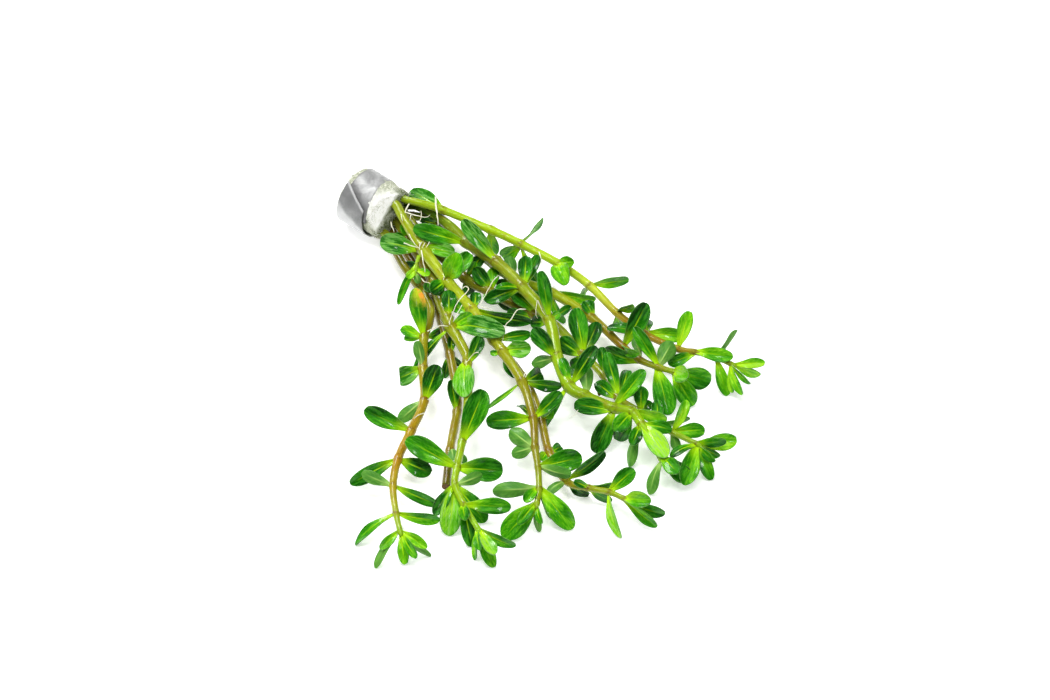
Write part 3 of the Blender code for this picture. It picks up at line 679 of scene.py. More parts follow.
def overTable(base, tip, width, roll):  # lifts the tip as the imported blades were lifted
    for _ in range(leafForm["liftTries"]):
        axis, facing = bladeFrame(base, tip, roll)
        across = axis.cross(facing)
        lowest = 1.0
        for along, share in leafForm["cadStations"]:
            arch = facing * ((tip - base).length * leafForm["cadArch"] * math.sin(math.pi * along))
            centre = base + (tip - base) * along + arch
            reach = abs(across.z) * width * share / 2 + abs(facing.z) * leafForm["cadThickness"] / 2
            lowest = min(lowest, centre.z - reach)
        if lowest >= tableGap:
            break
        tip = tip + toEye * ((tableGap - lowest) / toEye.z * leafForm["liftMargin"])
    return tip


def outline(t, u, tipAngle):
    # share of the length and half width of a blade: narrow base, widest past the middle, round tip
    widest = leafForm["widest"]
    if t <= widest:
        swell = math.sin(math.pi / 2 * (t / widest)) ** leafForm["swellPower"]
        return t, leafForm["baseShare"] + (1 - leafForm["baseShare"]) * swell
    late = (t - widest) / (1 - widest)
    angle = late * tipAngle
    half = math.cos(angle)
    bulge = math.sqrt(1 - (math.cos(tipAngle) * u) ** 2) - math.sin(tipAngle)
    return widest + (1 - widest) * (math.sin(angle) + bulge * late**2), half


def growLeaf(bm, layers, base, tip, width, roll, look, young, draw):
    traits = {
        "arch": draw.uniform(*leafForm["arch"]),
        "fold": draw.uniform(*leafForm["fold"]),
        "edgeRoll": draw.uniform(*leafForm["edgeRoll"]),
        "tipAngle": draw.uniform(*leafForm["tipAngle"]),
        "tone": 0.5,
        "pale": 0.0,
        "special": 0.0,
    }
    spread = draw.uniform(-1, 1) * leafForm["toneSpread"] + young * leafForm["youngTone"]
    twist = math.radians(draw.uniform(-1, 1) * leafForm["twist"])
    phase = draw.uniform(0, 2 * math.pi)
    chance = draw.random()
    traits.update(leafLooks[look])
    span = tip - base
    axis, facing = bladeFrame(base, tip, roll)
    if traits.get("under"):
        facing = -facing
        traits["arch"] = -traits["arch"]
    length = span.length
    made = bmesh.ops.create_grid(
        bm, x_segments=leafForm["acrossFaces"], y_segments=leafForm["alongFaces"], size=1.0
    )
    verts = made["verts"]
    faces = list({face for vert in verts for face in vert.link_faces})
    for vert in verts:
        u = vert.co.x
        along, half = outline((vert.co.y + 1) / 2, u, traits["tipAngle"])
        half *= width / 2
        turn = Matrix.Rotation(twist * (along - 0.5), 3, axis)
        out = turn @ facing
        right = turn @ axis.cross(facing)
        fold = math.atan(traits["fold"])
        lift = half * math.sin(fold) * abs(u) ** leafForm["foldPower"]
        lift += half * traits["edgeRoll"] * u**4
        turns = math.sin(along * leafForm["waveTurns"] + phase)
        lift += width * leafForm["wave"] * turns * u * abs(u)
        lift += length * traits["arch"] * math.sin(math.pi * along)
        vert.co = base + span * along + right * (u * half * math.cos(fold)) + out * lift
        vert[layers["bladePlace"]] = (u, along, chance)
        vert[layers["bladeMm"]] = (u * half / mm, along * length / mm, 0)
        vert[layers["bladeLook"]] = (traits["tone"] + spread, traits["pale"], traits["special"])
    if traits.get("cut"):
        slope = (axis + axis.cross(facing) * leafForm["cutSlope"]).normalized()
        geometry = verts + list({edge for vert in verts for edge in vert.link_edges}) + faces
        place = base + span * leafForm["cutAt"]
        cut = bmesh.ops.bisect_plane(bm, geom=geometry, plane_co=place, plane_no=slope, clear_outer=True)
        faces = [item for item in cut["geom"] if isinstance(item, bmesh.types.BMFace) and item.is_valid]
        verts = list({vert for face in faces for vert in face.verts})
    rest = leafForm["thickness"] + tableGap
    for vert in verts:
        vert.co.z = max(vert.co.z, rest)
    for face in faces:
        face.material_index = 1
        face.smooth = True
    bm.normal_update()
    made = bmesh.ops.solidify(bm, geom=faces, thickness=leafForm["thickness"])
    below = {item for item in made["geom"] if isinstance(item, bmesh.types.BMFace)}
    rim = {face for lower in below for edge in lower.edges for face in edge.link_faces} - below
    for face in below | rim:
        face.material_index = 2
        face.smooth = True


def growShoot(shoot, finishes, seed):
    bm = bmesh.new()
    layers = {"stemTint": bm.verts.layers.float_color.new("stemTint")}
    for name in ("bladePlace", "bladeMm", "bladeLook"):
        layers[name] = bm.verts.layers.float_vector.new(name)
    curve, marks, inPocket = growStem(bm, layers, shoot, seed * 10)
    draw = random.Random(seed)
    for index, leaves in shoot["leaves"].items():
        if index < len(shoot["route"]):
            mark = marks[index + inPocket]
            point, direction = atLength(curve, mark)
            radius = stemRadiusAt(shoot["radii"], mark / marks[-1])
            young = max(mark / marks[-1] - leafForm["youngShare"], 0) / (1 - leafForm["youngShare"])
        else:
            end, direction = atLength(curve, marks[-1])
            past, share = stemForm["budLeaves"]
            point = end + direction * past * mm
            radius = stemRadiusAt(shoot["radii"], 1) * share
            young = 1.0
        for across, up, width, toward, roll, look in leaves:
            tip = point + (Vector((across, 0, 0)) + seenUp * up + toEye * toward) * mm
            offset = tip - point
            outward = (offset - direction * offset.dot(direction)).normalized()
            tip = overTable(point + outward * radius, tip, width * mm, roll)
            base = point + outward * radius * leafForm["inStem"]
            growLeaf(bm, layers, base, tip, width * mm, roll, look, young, draw)
    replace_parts(finishPiece("leafy_" + shoot["node"], bm, finishes), shoot["node"])


def finishPiece(name, bm, finishes):
    lowest, highest = cadBounds
    for vert in bm.verts:
        for side in range(3):
            vert.co[side] = min(max(vert.co[side], lowest[side]), highest[side])
    mesh = bpy.data.meshes.new(name)
    bm.to_mesh(mesh)
    bm.free()
    for finish in finishes:
        mesh.materials.append(finish)
    piece = bpy.data.objects.new(name, mesh)
    bpy.context.scene.collection.objects.link(piece)
    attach(piece, "root")
    return piece


farRightShoot = {
    "node": "shoot_far_right",
    "pocket": (4.4, 4.2),
    "radii": [(0.09, 1.15), (0.3, 1.3), (0.6, 1.25), (0.85, 1), (1, 0.75)],
    "stemColours": [
        (0, (150, 160, 40)), (0.2, (172, 190, 38)), (0.5, (190, 205, 55)), (0.62, (205, 200, 95)),
        (0.72, (176, 130, 56)), (0.85, (170, 125, 60)), (1, (150, 170, 45)),
    ],
    "route": [
        (-40, 44.2, 13.6), (-32.7, 42, 13), (-18.3, 36, 12), (-9.3, 31.8, 11.2), (2.1, 25.8, 10.2),
        (11.4, 19.2, 9.5), (19.5, 11.1, 9), (27.9, 4.8, 8.6), (37.8, 0.3, 8.2), (42.9, -0.6, 8),
        (49.5, -2.4, 7.8), (53.7, -4.2, 7.6),
    ],
    "leaves": {
        1: [(-9.9, 5.7, 5.4, -8, 25, "glossy")],
        2: [(0.3, -7.8, 4.6, -6, 0, "bright")],
        3: [
            (-5.4, -4.2, 5, -6, 0, "bright"), (6.6, 7.8, 3.6, 3, 70, "bright"),
            (8.1, -16.8, 3.8, -3, 40, "dark"),
        ],
        4: [(2.1, -6.3, 5.6, 7.5, 0, "cupped"), (4.5, 0.6, 4, 5, 0, "bright")],
        5: [(11.7, 2.1, 4.2, 0, 40, "bright"), (-3.6, -4.2, 4, -6, 60, "under")],
        6: [(4.8, 2.4, 3.6, 6, 50, "bright"), (0.6, -3.6, 3.8, -6, 0, "bright")],
        7: [
            (11.7, -0.6, 4.5, -1, 0, "bright"), (-11.4, 1.8, 4, 0, 35, "mid"),
            (0.6, 4.2, 4, -6.5, 0, "dark"),
        ],
        8: [(3.3, 11.4, 4.5, 0, 0, "bright")],
        9: [(-8.1, -3.6, 3.9, 0, 0, "mid"), (11.4, -1.5, 4.5, 4, 0, "bright")],
        10: [(3, -11.4, 3.9, 0, 0, "bright"), (6, 8.4, 3.4, 0, 65, "under")],
        11: [
            (0.3, -8.7, 2.6, 0.5, 30, "bright"), (3.3, -9.3, 2.8, 3.5, 30, "bright"),
            (5.7, -6, 2.2, 6.5, 50, "mid"),
        ],
        12: [(9.3, 0.9, 3.2, 1, 0, "bright"), (7.8, -3, 3, -2, 30, "bright")],
    },
}

rightInnerShoot = {
    "node": "shoot_right_inner",
    "pocket": (4.9, -3.1),
    "radii": [(0.1, 1.25), (0.3, 1.4), (0.6, 1.5), (0.85, 1.2), (1, 0.85)],
    "stemColours": [
        (0, (92, 96, 30)), (0.2, (110, 120, 30)), (0.42, (150, 160, 40)), (0.6, (168, 172, 44)),
        (0.72, (160, 140, 44)), (0.84, (140, 96, 34)), (1, (150, 165, 45)),
    ],
    "route": [
        (-41.4, 40.2, 6.6), (-33.6, 38.4, 6.8), (-21.6, 28.8, 8.2), (-12, 21.6, 8.3), (0, 17.1, 7.8),
        (12, 9.6, 7.2), (21.3, 0.9, 7.2), (26.4, -3, 7.4), (31.8, -5.1, 7.6), (36.6, -6.6, 7.8),
    ],
    "leaves": {
        0: [(4.2, -0.6, 3.4, -1, 0, "dark")],
        1: [(-5.7, 0.6, 3, 0, -25, "shade")],
        3: [(-4.5, -2.7, 3.6, -1, 0, "dark"), (-1.2, 6.3, 4.2, -1.5, 0, "under")],
        4: [
            (13.2, -1.8, 3.8, 0, 30, "bright"), (3.9, -9, 3.4, -3, 40, "mid"),
            (-7.5, -2.1, 4.2, -2, 0, "dark"),
        ],
        5: [(-2.1, 5.1, 4.2, -1, 12, "dark"), (3, -4.5, 4, -4, 20, "bright")],
        6: [(7.2, 13.2, 6, 1, 6, "dark"), (4.8, -1.8, 3.6, 8.5, 50, "curled")],
        7: [(-10.5, 3, 5.2, -5, -20, "dark"), (-1.8, 6.6, 2.6, -2, 20, "under")],
        8: [
            (-7.2, 12, 4.4, 0, 0, "mid"), (3.3, -14.4, 7.2, 0, 0, "dark"),
            (4.2, 7.5, 5.6, -3, 0, "under"),
        ],
        9: [(5.7, -10.2, 6.4, 0, 0, "mid"), (4.2, -1.2, 5.4, 7, 0, "pale")],
        10: [(10.2, -2.1, 6.8, 0, 12, "mid")],
    },
}

crossingShoot = {
    "node": "shoot_crossing",
    "pocket": (6, 0.6),
    "radii": [(0.09, 1.4), (0.28, 1.85), (0.72, 1.8), (0.88, 1.45), (1, 1)],
    # the first stretch is painted dark green: painted shade where the far right shoot shadows it
    "stemColours": [
        (0, (60, 84, 20)), (0.14, (72, 100, 22)), (0.22, (140, 150, 40)), (0.32, (150, 150, 62)),
        (0.5, (150, 160, 40)), (0.66, (156, 180, 40)), (0.8, (142, 160, 34)), (0.9, (160, 190, 44)),
        (1, (150, 200, 45)),
    ],
    "route": [
        (-40.2, 43.2, 10.4), (-34.2, 39.9, 9.9), (-29.1, 35.7, 11.6), (-25.8, 32.4, 12.4),
        (-16.8, 26.4, 12.8), (-9, 18.9, 12.2), (-0.9, 9, 11.6), (1.5, -2.1, 11), (5.1, -10.8, 10.4),
        (9.9, -13.8, 10), (18.6, -17.4, 9.4), (24, -18.6, 9), (27, -22.5, 8.6), (30, -27.3, 8.2),
        (32.7, -32.4, 7.6),
    ],
    "leaves": {
        3: [(-15.9, 4.2, 5.6, 2.5, 0, "mid")],
        4: [(-10.2, 12.6, 4.8, 0, 0, "glossy")],
        5: [
            (-11.1, -4.2, 5, 2, 10, "dark"), (1.2, 9.3, 4.6, -3, 0, "dark"),
            (4.8, 9.6, 3.4, -7, 0, "dark"), (-8.1, -0.3, 2.4, 4, 30, "mid"),
        ],
        6: [
            (-2.7, 14.7, 4.4, 0, 10, "dark"), (3.3, 2.1, 2.8, 1, 0, "pale"),
            (-5.4, -0.6, 4, -5, 0, "dark"), (6.6, 4.2, 2.4, -2, 0, "dark"),
        ],
        7: [
            (-7.2, 8.7, 5.4, 0, 0, "dark"), (-7.5, -2.1, 4, -3, 20, "under"),
            (5.4, -5.4, 4, -4, 40, "mid"),
        ],
        8: [
            (8.1, 12, 4.8, 0, 0, "dark"), (-8.4, -13.2, 4.6, -1.5, 37, "dark"),
            (-2.4, 8.4, 3.2, -3.5, 0, "mid"),
        ],
        9: [(0.3, 9, 4.6, -6.5, 0, "under")],
        10: [
            (9.3, 11.4, 4.8, 0, 0, "mid"), (-5.7, -13.5, 6, 0, 0, "dark"),
            (-12, 1.2, 5.2, -0.5, 0, "dark"),
        ],
        11: [
            (-5.4, -5.7, 5.2, 6, 0, "mid"), (10.5, -2.4, 4.2, 2, 26, "bright"),
            (-4.2, -8.7, 5.2, -4, 0, "dark"),
        ],
        12: [
            (7.5, -9.6, 6, 10, -6, "light"), (-3.6, -12.6, 4, 0, 40, "under"),
            (-3, -6, 4, 5.5, 0, "shade"), (9, -1.5, 4.2, 0, -12, "mid"),
        ],
        14: [(8.7, -6.6, 6, -4, 0, "dark"), (5.1, -4.5, 4.8, 6, -6, "mid")],
        15: [(-3.6, -10.2, 4, 0, 30, "under")],
    },
}

rightLowShoot = {
    "node": "shoot_right_low",
    "pocket": (2.2, 1.2),
    "radii": [(0.1, 1.25), (0.3, 1.55), (0.5, 1.4), (0.75, 1.2), (1, 0.8)],
    # the first stretch is painted dark: painted shade where the stem passes in shadow
    "stemColours": [
        (0, (80, 76, 30)), (0.2, (96, 92, 32)), (0.32, (134, 126, 44)), (0.45, (120, 100, 40)),
        (0.55, (160, 165, 60)), (0.75, (150, 150, 44)), (1, (150, 175, 50)),
    ],
    "route": [
        (-43, 39.6, 9.6), (-36.6, 31.5, 8.8), (-26.1, 21.6, 7.6), (-18.6, 17.4, 6.8),
        (-5.1, 10.5, 5.8), (1.2, 7.2, 5.4), (9.3, -1.2, 5.2), (15.6, -7.8, 5.2), (19.8, -14.4, 5.4),
        (26.4, -18.6, 5.6), (31.5, -22.2, 5.8), (36, -24.6, 6), (43.5, -28.2, 6.4),
    ],
    "leaves": {
        2: [
            (5.4, 6.9, 4, -3, -25, "dark"), (3.3, 4.8, 2.4, 3, 30, "bright"),
            (1.8, -4.8, 4.2, -2, 0, "dark"),
        ],
        3: [
            (1.2, 7.2, 3.8, -2, 0, "bright"), (0.6, -3.6, 4.2, 5, 0, "dark"),
            (6.6, -4.8, 5, -3.5, -25, "dark"), (-4.8, 7.2, 4.6, 0, 0, "dark"),
        ],
        4: [(-8.4, 0.9, 3.9, -1.5, -20, "dark"), (-6.9, 6.9, 5, -1.5, 25, "dark")],
        6: [
            (-2.4, 13.8, 6, -1.5, 0, "wet"), (-7.2, 4.2, 5.6, -2, -12, "dark"),
            (-3.3, -4.2, 3.6, -1, 0, "dark"), (4.5, 9.6, 4.6, -3, 0, "dark"),
        ],
        7: [(-1.5, -6, 1.6, 0, 0, "brown"), (-0.9, 8.7, 3.6, -2, 0, "dark")],
        8: [
            (-3.6, 13.8, 4.4, -3, 0, "mid"), (6.6, 4.2, 4.2, -5, 0, "dark"),
            (3, 8.4, 3.6, -8.5, 0, "dark"), (-6.6, 4.8, 4.4, -3.5, 0, "dark"),
        ],
        9: [(0.3, 7.8, 4.6, -1, 0, "dark"), (3.6, 3, 3, -1, 0, "dark")],
        10: [(9.9, 1.8, 3.4, 0, 60, "under"), (0, 7.2, 3.6, -3, 0, "dark")],
        11: [
            (4.5, 9.6, 3.6, 0, 20, "bright"), (9.9, 0.6, 4.8, -2, 0, "mid"),
            (1.8, -5.4, 3, -1, 0, "under"),
        ],
        12: [
            (4.5, -10.8, 4, 0, 0, "mid"), (-3.9, -12.3, 6, 7, -12, "mid"),
            (-8.1, -3.9, 3.4, 3.5, 42, "dark"), (8.7, 0.9, 3.4, 5, 25, "dark"),
        ],
        13: [
            (11.1, 1.5, 5.4, 0, 0, "bright"), (6, -3.3, 3, -1, 35, "dark"),
            (4.5, -4.8, 3, 3.5, 35, "dark"),
        ],
    },
}

middleShoot = {
    "node": "shoot_middle",
    "pocket": (0, 5.3),
    "radii": [(0.08, 1.4), (0.22, 1.8), (0.55, 1.6), (0.8, 1.25), (1, 0.85)],
    "stemColours": [
        (0, (150, 155, 50)), (0.2, (165, 165, 50)), (0.36, (190, 192, 70)), (0.46, (172, 162, 50)),
        (0.6, (160, 150, 48)), (0.8, (142, 112, 36)), (1, (150, 165, 44)),
    ],
    "route": [
        (-45.3, 40.8, 14.2), (-42, 35.4, 13.4), (-39, 30.6, 12.6), (-31.5, 20.7, 11.4),
        (-24, 12, 10.4), (-17.4, 3, 9.8), (-14.7, -0.6, 9.5), (-9, -9.6, 9), (-5.7, -20.4, 8.5),
        (-5.1, -29.1, 8), (-4.2, -35.1, 7.8), (-3.9, -41.4, 7.4), (-4.5, -45.9, 7),
    ],
    "leaves": {
        2: [(-12.6, 2.1, 6.2, -2, 0, "glossy"), (9.9, -1.8, 4.6, -0.5, -12, "pale")],
        3: [
            (3.6, 8.4, 6.4, 5, 0, "cupped"), (-4.8, -3.3, 5, 4.5, 0, "dark"),
            (6.9, 8.4, 5, -2, 0, "curled"),
        ],
        4: [
            (18, -3.6, 4.2, 2, 25, "dark"), (-6.3, 1.5, 3.6, -2.5, 0, "mid"),
            (1.2, 5.4, 3.4, -3, 0, "dark"),
        ],
        5: [(11.1, 1.8, 3.6, -3, 0, "mid")],
        6: [
            (8.4, 1.2, 5.8, 3, 0, "pale"), (4.5, -7.8, 4, 1.5, 20, "dark"),
            (-3.9, -0.3, 1.8, 0, 0, "bright"),
        ],
        7: [
            (12, -1.2, 4, -0.5, 20, "dark"), (5.7, 3, 5.6, -5, 12, "dark"),
            (-10.2, -7.8, 1.4, -2, 0, "thread"),
        ],
        8: [
            (8.4, 7.8, 4.8, 0, 0, "dark"), (-14.1, -0.9, 6, 0, 0, "mid"),
            (-4.5, 3.6, 3.2, -7.5, 50, "dark"),
        ],
        9: [(-7.5, 5.1, 5.4, -4, 0, "under"), (-6.9, -2.1, 4.4, -2.5, 15, "under")],
        10: [(13.2, 3, 7.2, 0, 0, "mid"), (9.9, -2.4, 4, 5, 25, "under")],
        11: [
            (-13.8, -0.9, 5.2, 0, 0, "under"), (10.2, -12.3, 6.6, 0, 0, "mid"),
            (4.5, -9, 4.2, -3, -36, "under"), (-4.2, -4.2, 3.6, 4.5, 20, "mid"),
        ],
        12: [(-10.2, -10.5, 7.4, 0, 0, "mid"), (-5.7, -6.3, 3.4, 5, 0, "mid")],
        13: [(0.9, -7.8, 2.8, -2, 40, "under"), (1.5, -5.4, 2.4, 3.5, 40, "mid")],
    },
}

middleLowShoot = {
    "node": "shoot_middle_low",
    "pocket": (2.2, -5.4),
    "radii": [(0.1, 1.2), (0.8, 1.3), (1, 0.8)],
    "stemColours": [
        (0, (80, 80, 30)), (0.4, (116, 106, 34)), (0.6, (142, 122, 40)), (0.8, (160, 124, 44)),
        (1, (160, 175, 50)),
    ],
    "route": [
        (-41.8, 34.8, 4.4), (-33.6, 23.4, 4.5), (-23.1, 10.8, 4.5), (-14.4, -0.6, 4.5),
        (-7.2, -10.5, 4.6), (-3.3, -21, 4.8), (-0.9, -30.6, 5), (4.2, -39.3, 5.4), (11.1, -41.4, 5.8),
        (17.1, -42.6, 6.2), (21.9, -44.7, 6.4),
    ],
    "leaves": {
        5: [(3.3, 3, 3.6, 3, 40, "bright")],
        6: [(-2.4, -2.4, 3.2, 3.5, 0, "bright"), (3.6, 1.8, 3.2, -4, 0, "dark")],
        7: [
            (11.7, 8.7, 4.6, 1.5, 33, "dark"), (-5.4, -3.6, 3.6, 3, 35, "under"),
            (6.9, -4.2, 3.6, -3, 40, "dark"),
        ],
        8: [
            (9, 1.2, 3.6, 0, 50, "mid"), (6.9, -3.9, 3.4, -1, 40, "dark"),
            (-4.5, 2.1, 2.4, 2, 0, "dark"),
        ],
        9: [(7.5, 6.9, 5, 0.5, 0, "dark"), (3.6, -13.8, 3.6, 0, 40, "pale")],
        10: [(7.8, -0.6, 5.2, 5.5, 0, "curled"), (9.6, -8.4, 3.6, 2, 25, "mid")],
        11: [(11.1, -4.2, 4.2, -1, 25, "dark")],
    },
}

leftInnerShoot = {
    "node": "shoot_left_inner",
    "pocket": (0.2, -2.4),
    "radii": [(0.08, 1.3), (0.22, 1.7), (0.4, 1.8), (0.52, 1.4), (0.85, 1.15), (1, 0.85)],
    "stemColours": [
        (0, (110, 110, 36)), (0.2, (134, 116, 40)), (0.3, (128, 120, 30)), (0.4, (150, 150, 34)),
        (0.55, (160, 150, 40)), (0.7, (150, 172, 44)), (0.85, (164, 186, 44)), (1, (150, 190, 50)),
    ],
    "route": [
        (-45.6, 37, 6.9), (-43.2, 33, 7.2), (-38.1, 25.5, 7.6), (-35.7, 20.4, 7.8), (-31.5, 9.6, 8),
        (-30.3, 6.9, 8), (-26.1, -0.6, 8), (-25.5, -4.2, 8), (-25.2, -15, 7.9), (-27, -27.6, 7.8),
        (-28.5, -35.1, 7.6), (-29.1, -40.5, 7.4), (-26.4, -46.5, 7), (-22.2, -53.7, 6.6),
    ],
    "leaves": {
        1: [(-4.5, 0.9, 3.6, 2, 0, "dark"), (-1.5, 5.1, 3, 1, 0, "mid")],
        2: [(-6, -0.9, 4.4, -4.5, 0, "shade")],
        3: [(-1.2, -3, 3.9, 6.5, 0, "dark")],
        4: [(0.6, 8.4, 4.6, -1.5, 0, "dark")],
        5: [
            (-11.4, -14.1, 4, 0, 50, "dark"), (16.2, -1.8, 7, 8.5, -22, "glossy"),
            (6.3, 3.9, 3.6, 4, 0, "bright"),
        ],
        7: [(-0.6, -9.9, 7, 11.5, 15, "pale"), (3.9, 8.4, 4.4, -2, 10, "dark")],
        9: [(6.6, 15.6, 7.4, 1, 0, "mid")],
        10: [(-15.3, 8.4, 6.6, 0, 0, "mid"), (13.8, -1.2, 7.8, 0, 0, "mid")],
        11: [
            (8.1, 3, 3.8, -3.5, 0, "under"), (-1.8, -15.3, 7, 0, 0, "pale"),
            (-6.3, -9, 4.2, 4, 10, "dark"), (9.3, -11.1, 6, 0, 0, "mid"),
        ],
        12: [
            (2.4, -12.6, 4.8, -3, 0, "dark"), (14.1, -0.6, 5.2, 0, 0, "mid"),
            (0.3, -4.5, 3.9, 6, 0, "mid"),
        ],
        13: [
            (11.4, -5.1, 3.6, 0, 25, "mid"), (-0.9, -9.3, 2.6, 0, 50, "mid"),
            (0.6, -6.3, 3, 5, 35, "mid"),
        ],
        14: [(4.2, -10.8, 4.2, -2, 0, "mid"), (4.5, -6.9, 4.2, 7.5, -25, "pale")],
    },
}

bareShoot = {
    "node": "shoot_bare",
    "pocket": (-1.4, -5.6),
    "radii": [(0.1, 1.2), (0.4, 1.4), (1, 1.3)],
    "cutEnd": True,
    "stemColours": [
        (0, (120, 84, 38)), (0.4, (110, 90, 34)), (0.6, (140, 116, 30)), (0.85, (152, 124, 34)),
        (1, (96, 78, 28)),
    ],
    "route": [
        (-46.5, 33.2, 3.2), (-42, 26.4, 3), (-37.2, 18, 2.8), (-34.2, 11.4, 2.8), (-30.6, -1.5, 2.8),
        (-28.5, -13.5, 2.8), (-28.5, -18.6, 2.8), (-30.6, -30, 2.8), (-31.8, -41.1, 2.4),
    ],
    "leaves": {
        4: [(-1.5, -6.9, 3, 1, 8, "dark"), (3.3, -3, 2.6, 0, 40, "dark"), (0.6, 6, 2.6, -2, 0, "dark")],
        6: [(-1.8, 9.6, 3.6, -1, 15, "dark")],
        7: [(1.2, -3, 3, 5.5, 0, "under"), (4.8, -3.9, 3, 0, 0, "under")],
    },
}

leftShoot = {
    "node": "shoot_left",
    "pocket": (-5.2, -2.9),
    "radii": [(0.08, 1.25), (0.45, 1.4), (0.75, 1.35), (1, 0.85)],
    "stemColours": [
        (0, (140, 150, 36)), (0.15, (124, 108, 34)), (0.4, (152, 136, 36)), (0.6, (176, 140, 44)),
        (0.8, (190, 130, 52)), (0.92, (176, 158, 50)), (1, (150, 180, 50)),
    ],
    "route": [
        (-49, 33.6, 5.9), (-47.1, 30, 6), (-44.1, 24.6, 6.2), (-36.9, 14.1, 6.2), (-36.9, 8.4, 6.2),
        (-38.4, 3.9, 6.2), (-38.7, -5.4, 6.4), (-38.4, -15.3, 6.6), (-42.3, -24.3, 6.8),
        (-46.2, -32.7, 6.8), (-47.7, -40.8, 6.8), (-46.8, -48.9, 6.6), (-45.6, -54.3, 6.4),
    ],
    "leaves": {
        5: [
            (-2.7, 14.7, 5.4, 0, 0, "spotted"), (4.8, 2.1, 3.6, -3, 40, "dark"),
            (-6.9, 2.7, 3.4, 0, 0, "bright"), (-6, -0.3, 2.2, -2, 0, "bright"),
        ],
        6: [(-8.4, -3.6, 6.2, 0, 0, "cut"), (-1.8, 8.1, 3.6, 0, 30, "under")],
        7: [(4.2, 10.8, 6.2, 0, 0, "dark"), (-7.5, -6, 4.2, 0, 10, "under")],
        8: [(-14.1, 6.3, 5.6, 0, 0, "mid")],
        9: [(-14.4, -7.5, 5, 0, 0, "mid"), (9.9, -4.2, 5.6, 0, 0, "dark")],
        10: [(-9.3, 3.9, 3.8, -2, 0, "under"), (13.5, -5.7, 3.8, 0, 15, "mid")],
        11: [(-12.3, -9.6, 3.6, 0, 45, "mid"), (13.2, -2.1, 3.8, 0, 20, "mid")],
        12: [
            (-6, -5.4, 3, 3, 0, "bright"), (8.1, -5.1, 3.6, 3, 0, "bright"),
            (-7.5, -11.1, 3, 0, 38, "under"), (9.3, -7.5, 2.6, -2, 40, "under"),
        ],
        13: [(1.2, -9.3, 3.2, 1, 0, "bright"), (4.8, -7.2, 3, 5, 25, "mid")],
    },
}

sideShoot = {
    "node": "side_shoot",
    "radii": [(0, 0.6), (1, 0.45)],
    "stemColours": [(0, (165, 190, 50)), (1, (150, 185, 50))],
    "route": [(-39.9, 28.2, 13.2), (-40.5, 26.2, 12.6), (-40.8, 24, 11.8)],
    "leaves": {
        1: [(-5.7, -12.6, 2.4, 0, 20, "mid")],
        2: [(-2.7, -2.4, 2.6, 1, 0, "bright"), (4.2, -1.2, 2.4, 1, 0, "bright")],
        3: [(0.9, -3, 2, 0, 0, "under")],
    },
}

shoots = [
    farRightShoot, rightInnerShoot, crossingShoot, rightLowShoot, middleShoot,
    middleLowShoot, leftInnerShoot, bareShoot, leftShoot, sideShoot,
]


# Rock wool plug

woolInks = {
    "cream": ink(226, 227, 212),
    "white": ink(250, 250, 247),
    "fleck": ink(168, 174, 148),
    "wet": ink(150, 158, 122),
    "wetDark": ink(92, 104, 70),
}
fibreForm = {
    "count": 2400,
    "tuft": 40,  # fibres made together
    "length": (0.7, 2.4),
    "radius": 0.035 * mm,
    "steps": 3,
    "bend": 0.5,
    "rise": (-0.1, 0.5),
    "radiusSpread": (0.6, 1.3),
    "rootDepth": 0.1,  # mm under the wool
}


def makeWoolFinish():
    finish, tree, shader = newFinish("rockWool")
    wet, smooth, _ = parts(tree, ownValue(tree, "woolLook"))
    place = objectPlace(tree)
    fine = noiseOf(tree, place, 1500, 5, 0.65)
    broad = noiseOf(tree, place, 330, 3)
    dry = mixOf(tree, fade(tree, fine, 0.42, 0.66), woolInks["fleck"], woolInks["cream"])
    # smooth whitens the cut facet and the wool round it: painted light
    dry = mixOf(tree, smooth, dry, woolInks["white"])
    damp = mixOf(tree, fade(tree, fine, 0.36, 0.66), woolInks["wetDark"], woolInks["wet"])
    damp = mixOf(tree, fade(tree, broad, 0.5, 0.75, 0, 0.6), damp, woolInks["cream"])
    share = total(tree, wet, swing(tree, broad, 0.5))
    colour = mixOf(tree, fade(tree, share, 0.2, 0.8), dry, damp)
    dress(tree, shader, colour, fine, 0.35 * mm, 0.8)
    return finish


def makeFibreFinish():
    finish, tree, shader = newFinish("woolFibre")
    shade = noiseOf(tree, objectPlace(tree), 240, 2)
    stops = [(0.35, woolInks["wet"]), (0.5, woolInks["cream"]), (0.7, woolInks["white"])]
    tree.links.new(rampOf(tree, shade, stops), shader.inputs["Base Color"])
    return finish


def woolStations():
    radius, rim, length = plug["radius"], plug["rim"], plug["length"]
    flat = radius - rim
    capSteps, rimSteps = plug["capSteps"], plug["rimSteps"]
    sideSteps = round((length - 2 * rim) / plug["ringStep"])
    profile = [(0.0, flat * (step + 0.4) / (capSteps + 0.4)) for step in range(capSteps + 1)]
    for step in range(1, rimSteps + 1):
        turn = math.pi / 2 * step / rimSteps
        profile.append((rim * (1 - math.cos(turn)), flat + rim * math.sin(turn)))
    half = [(rim + (length - 2 * rim) * step / sideSteps, radius) for step in range(1, sideSteps)]
    back = [(length - reach, size) for reach, size in reversed(profile)]
    return [(plugPoint(0, 0, length - reach), plugAxis, size) for reach, size in profile + half + back]


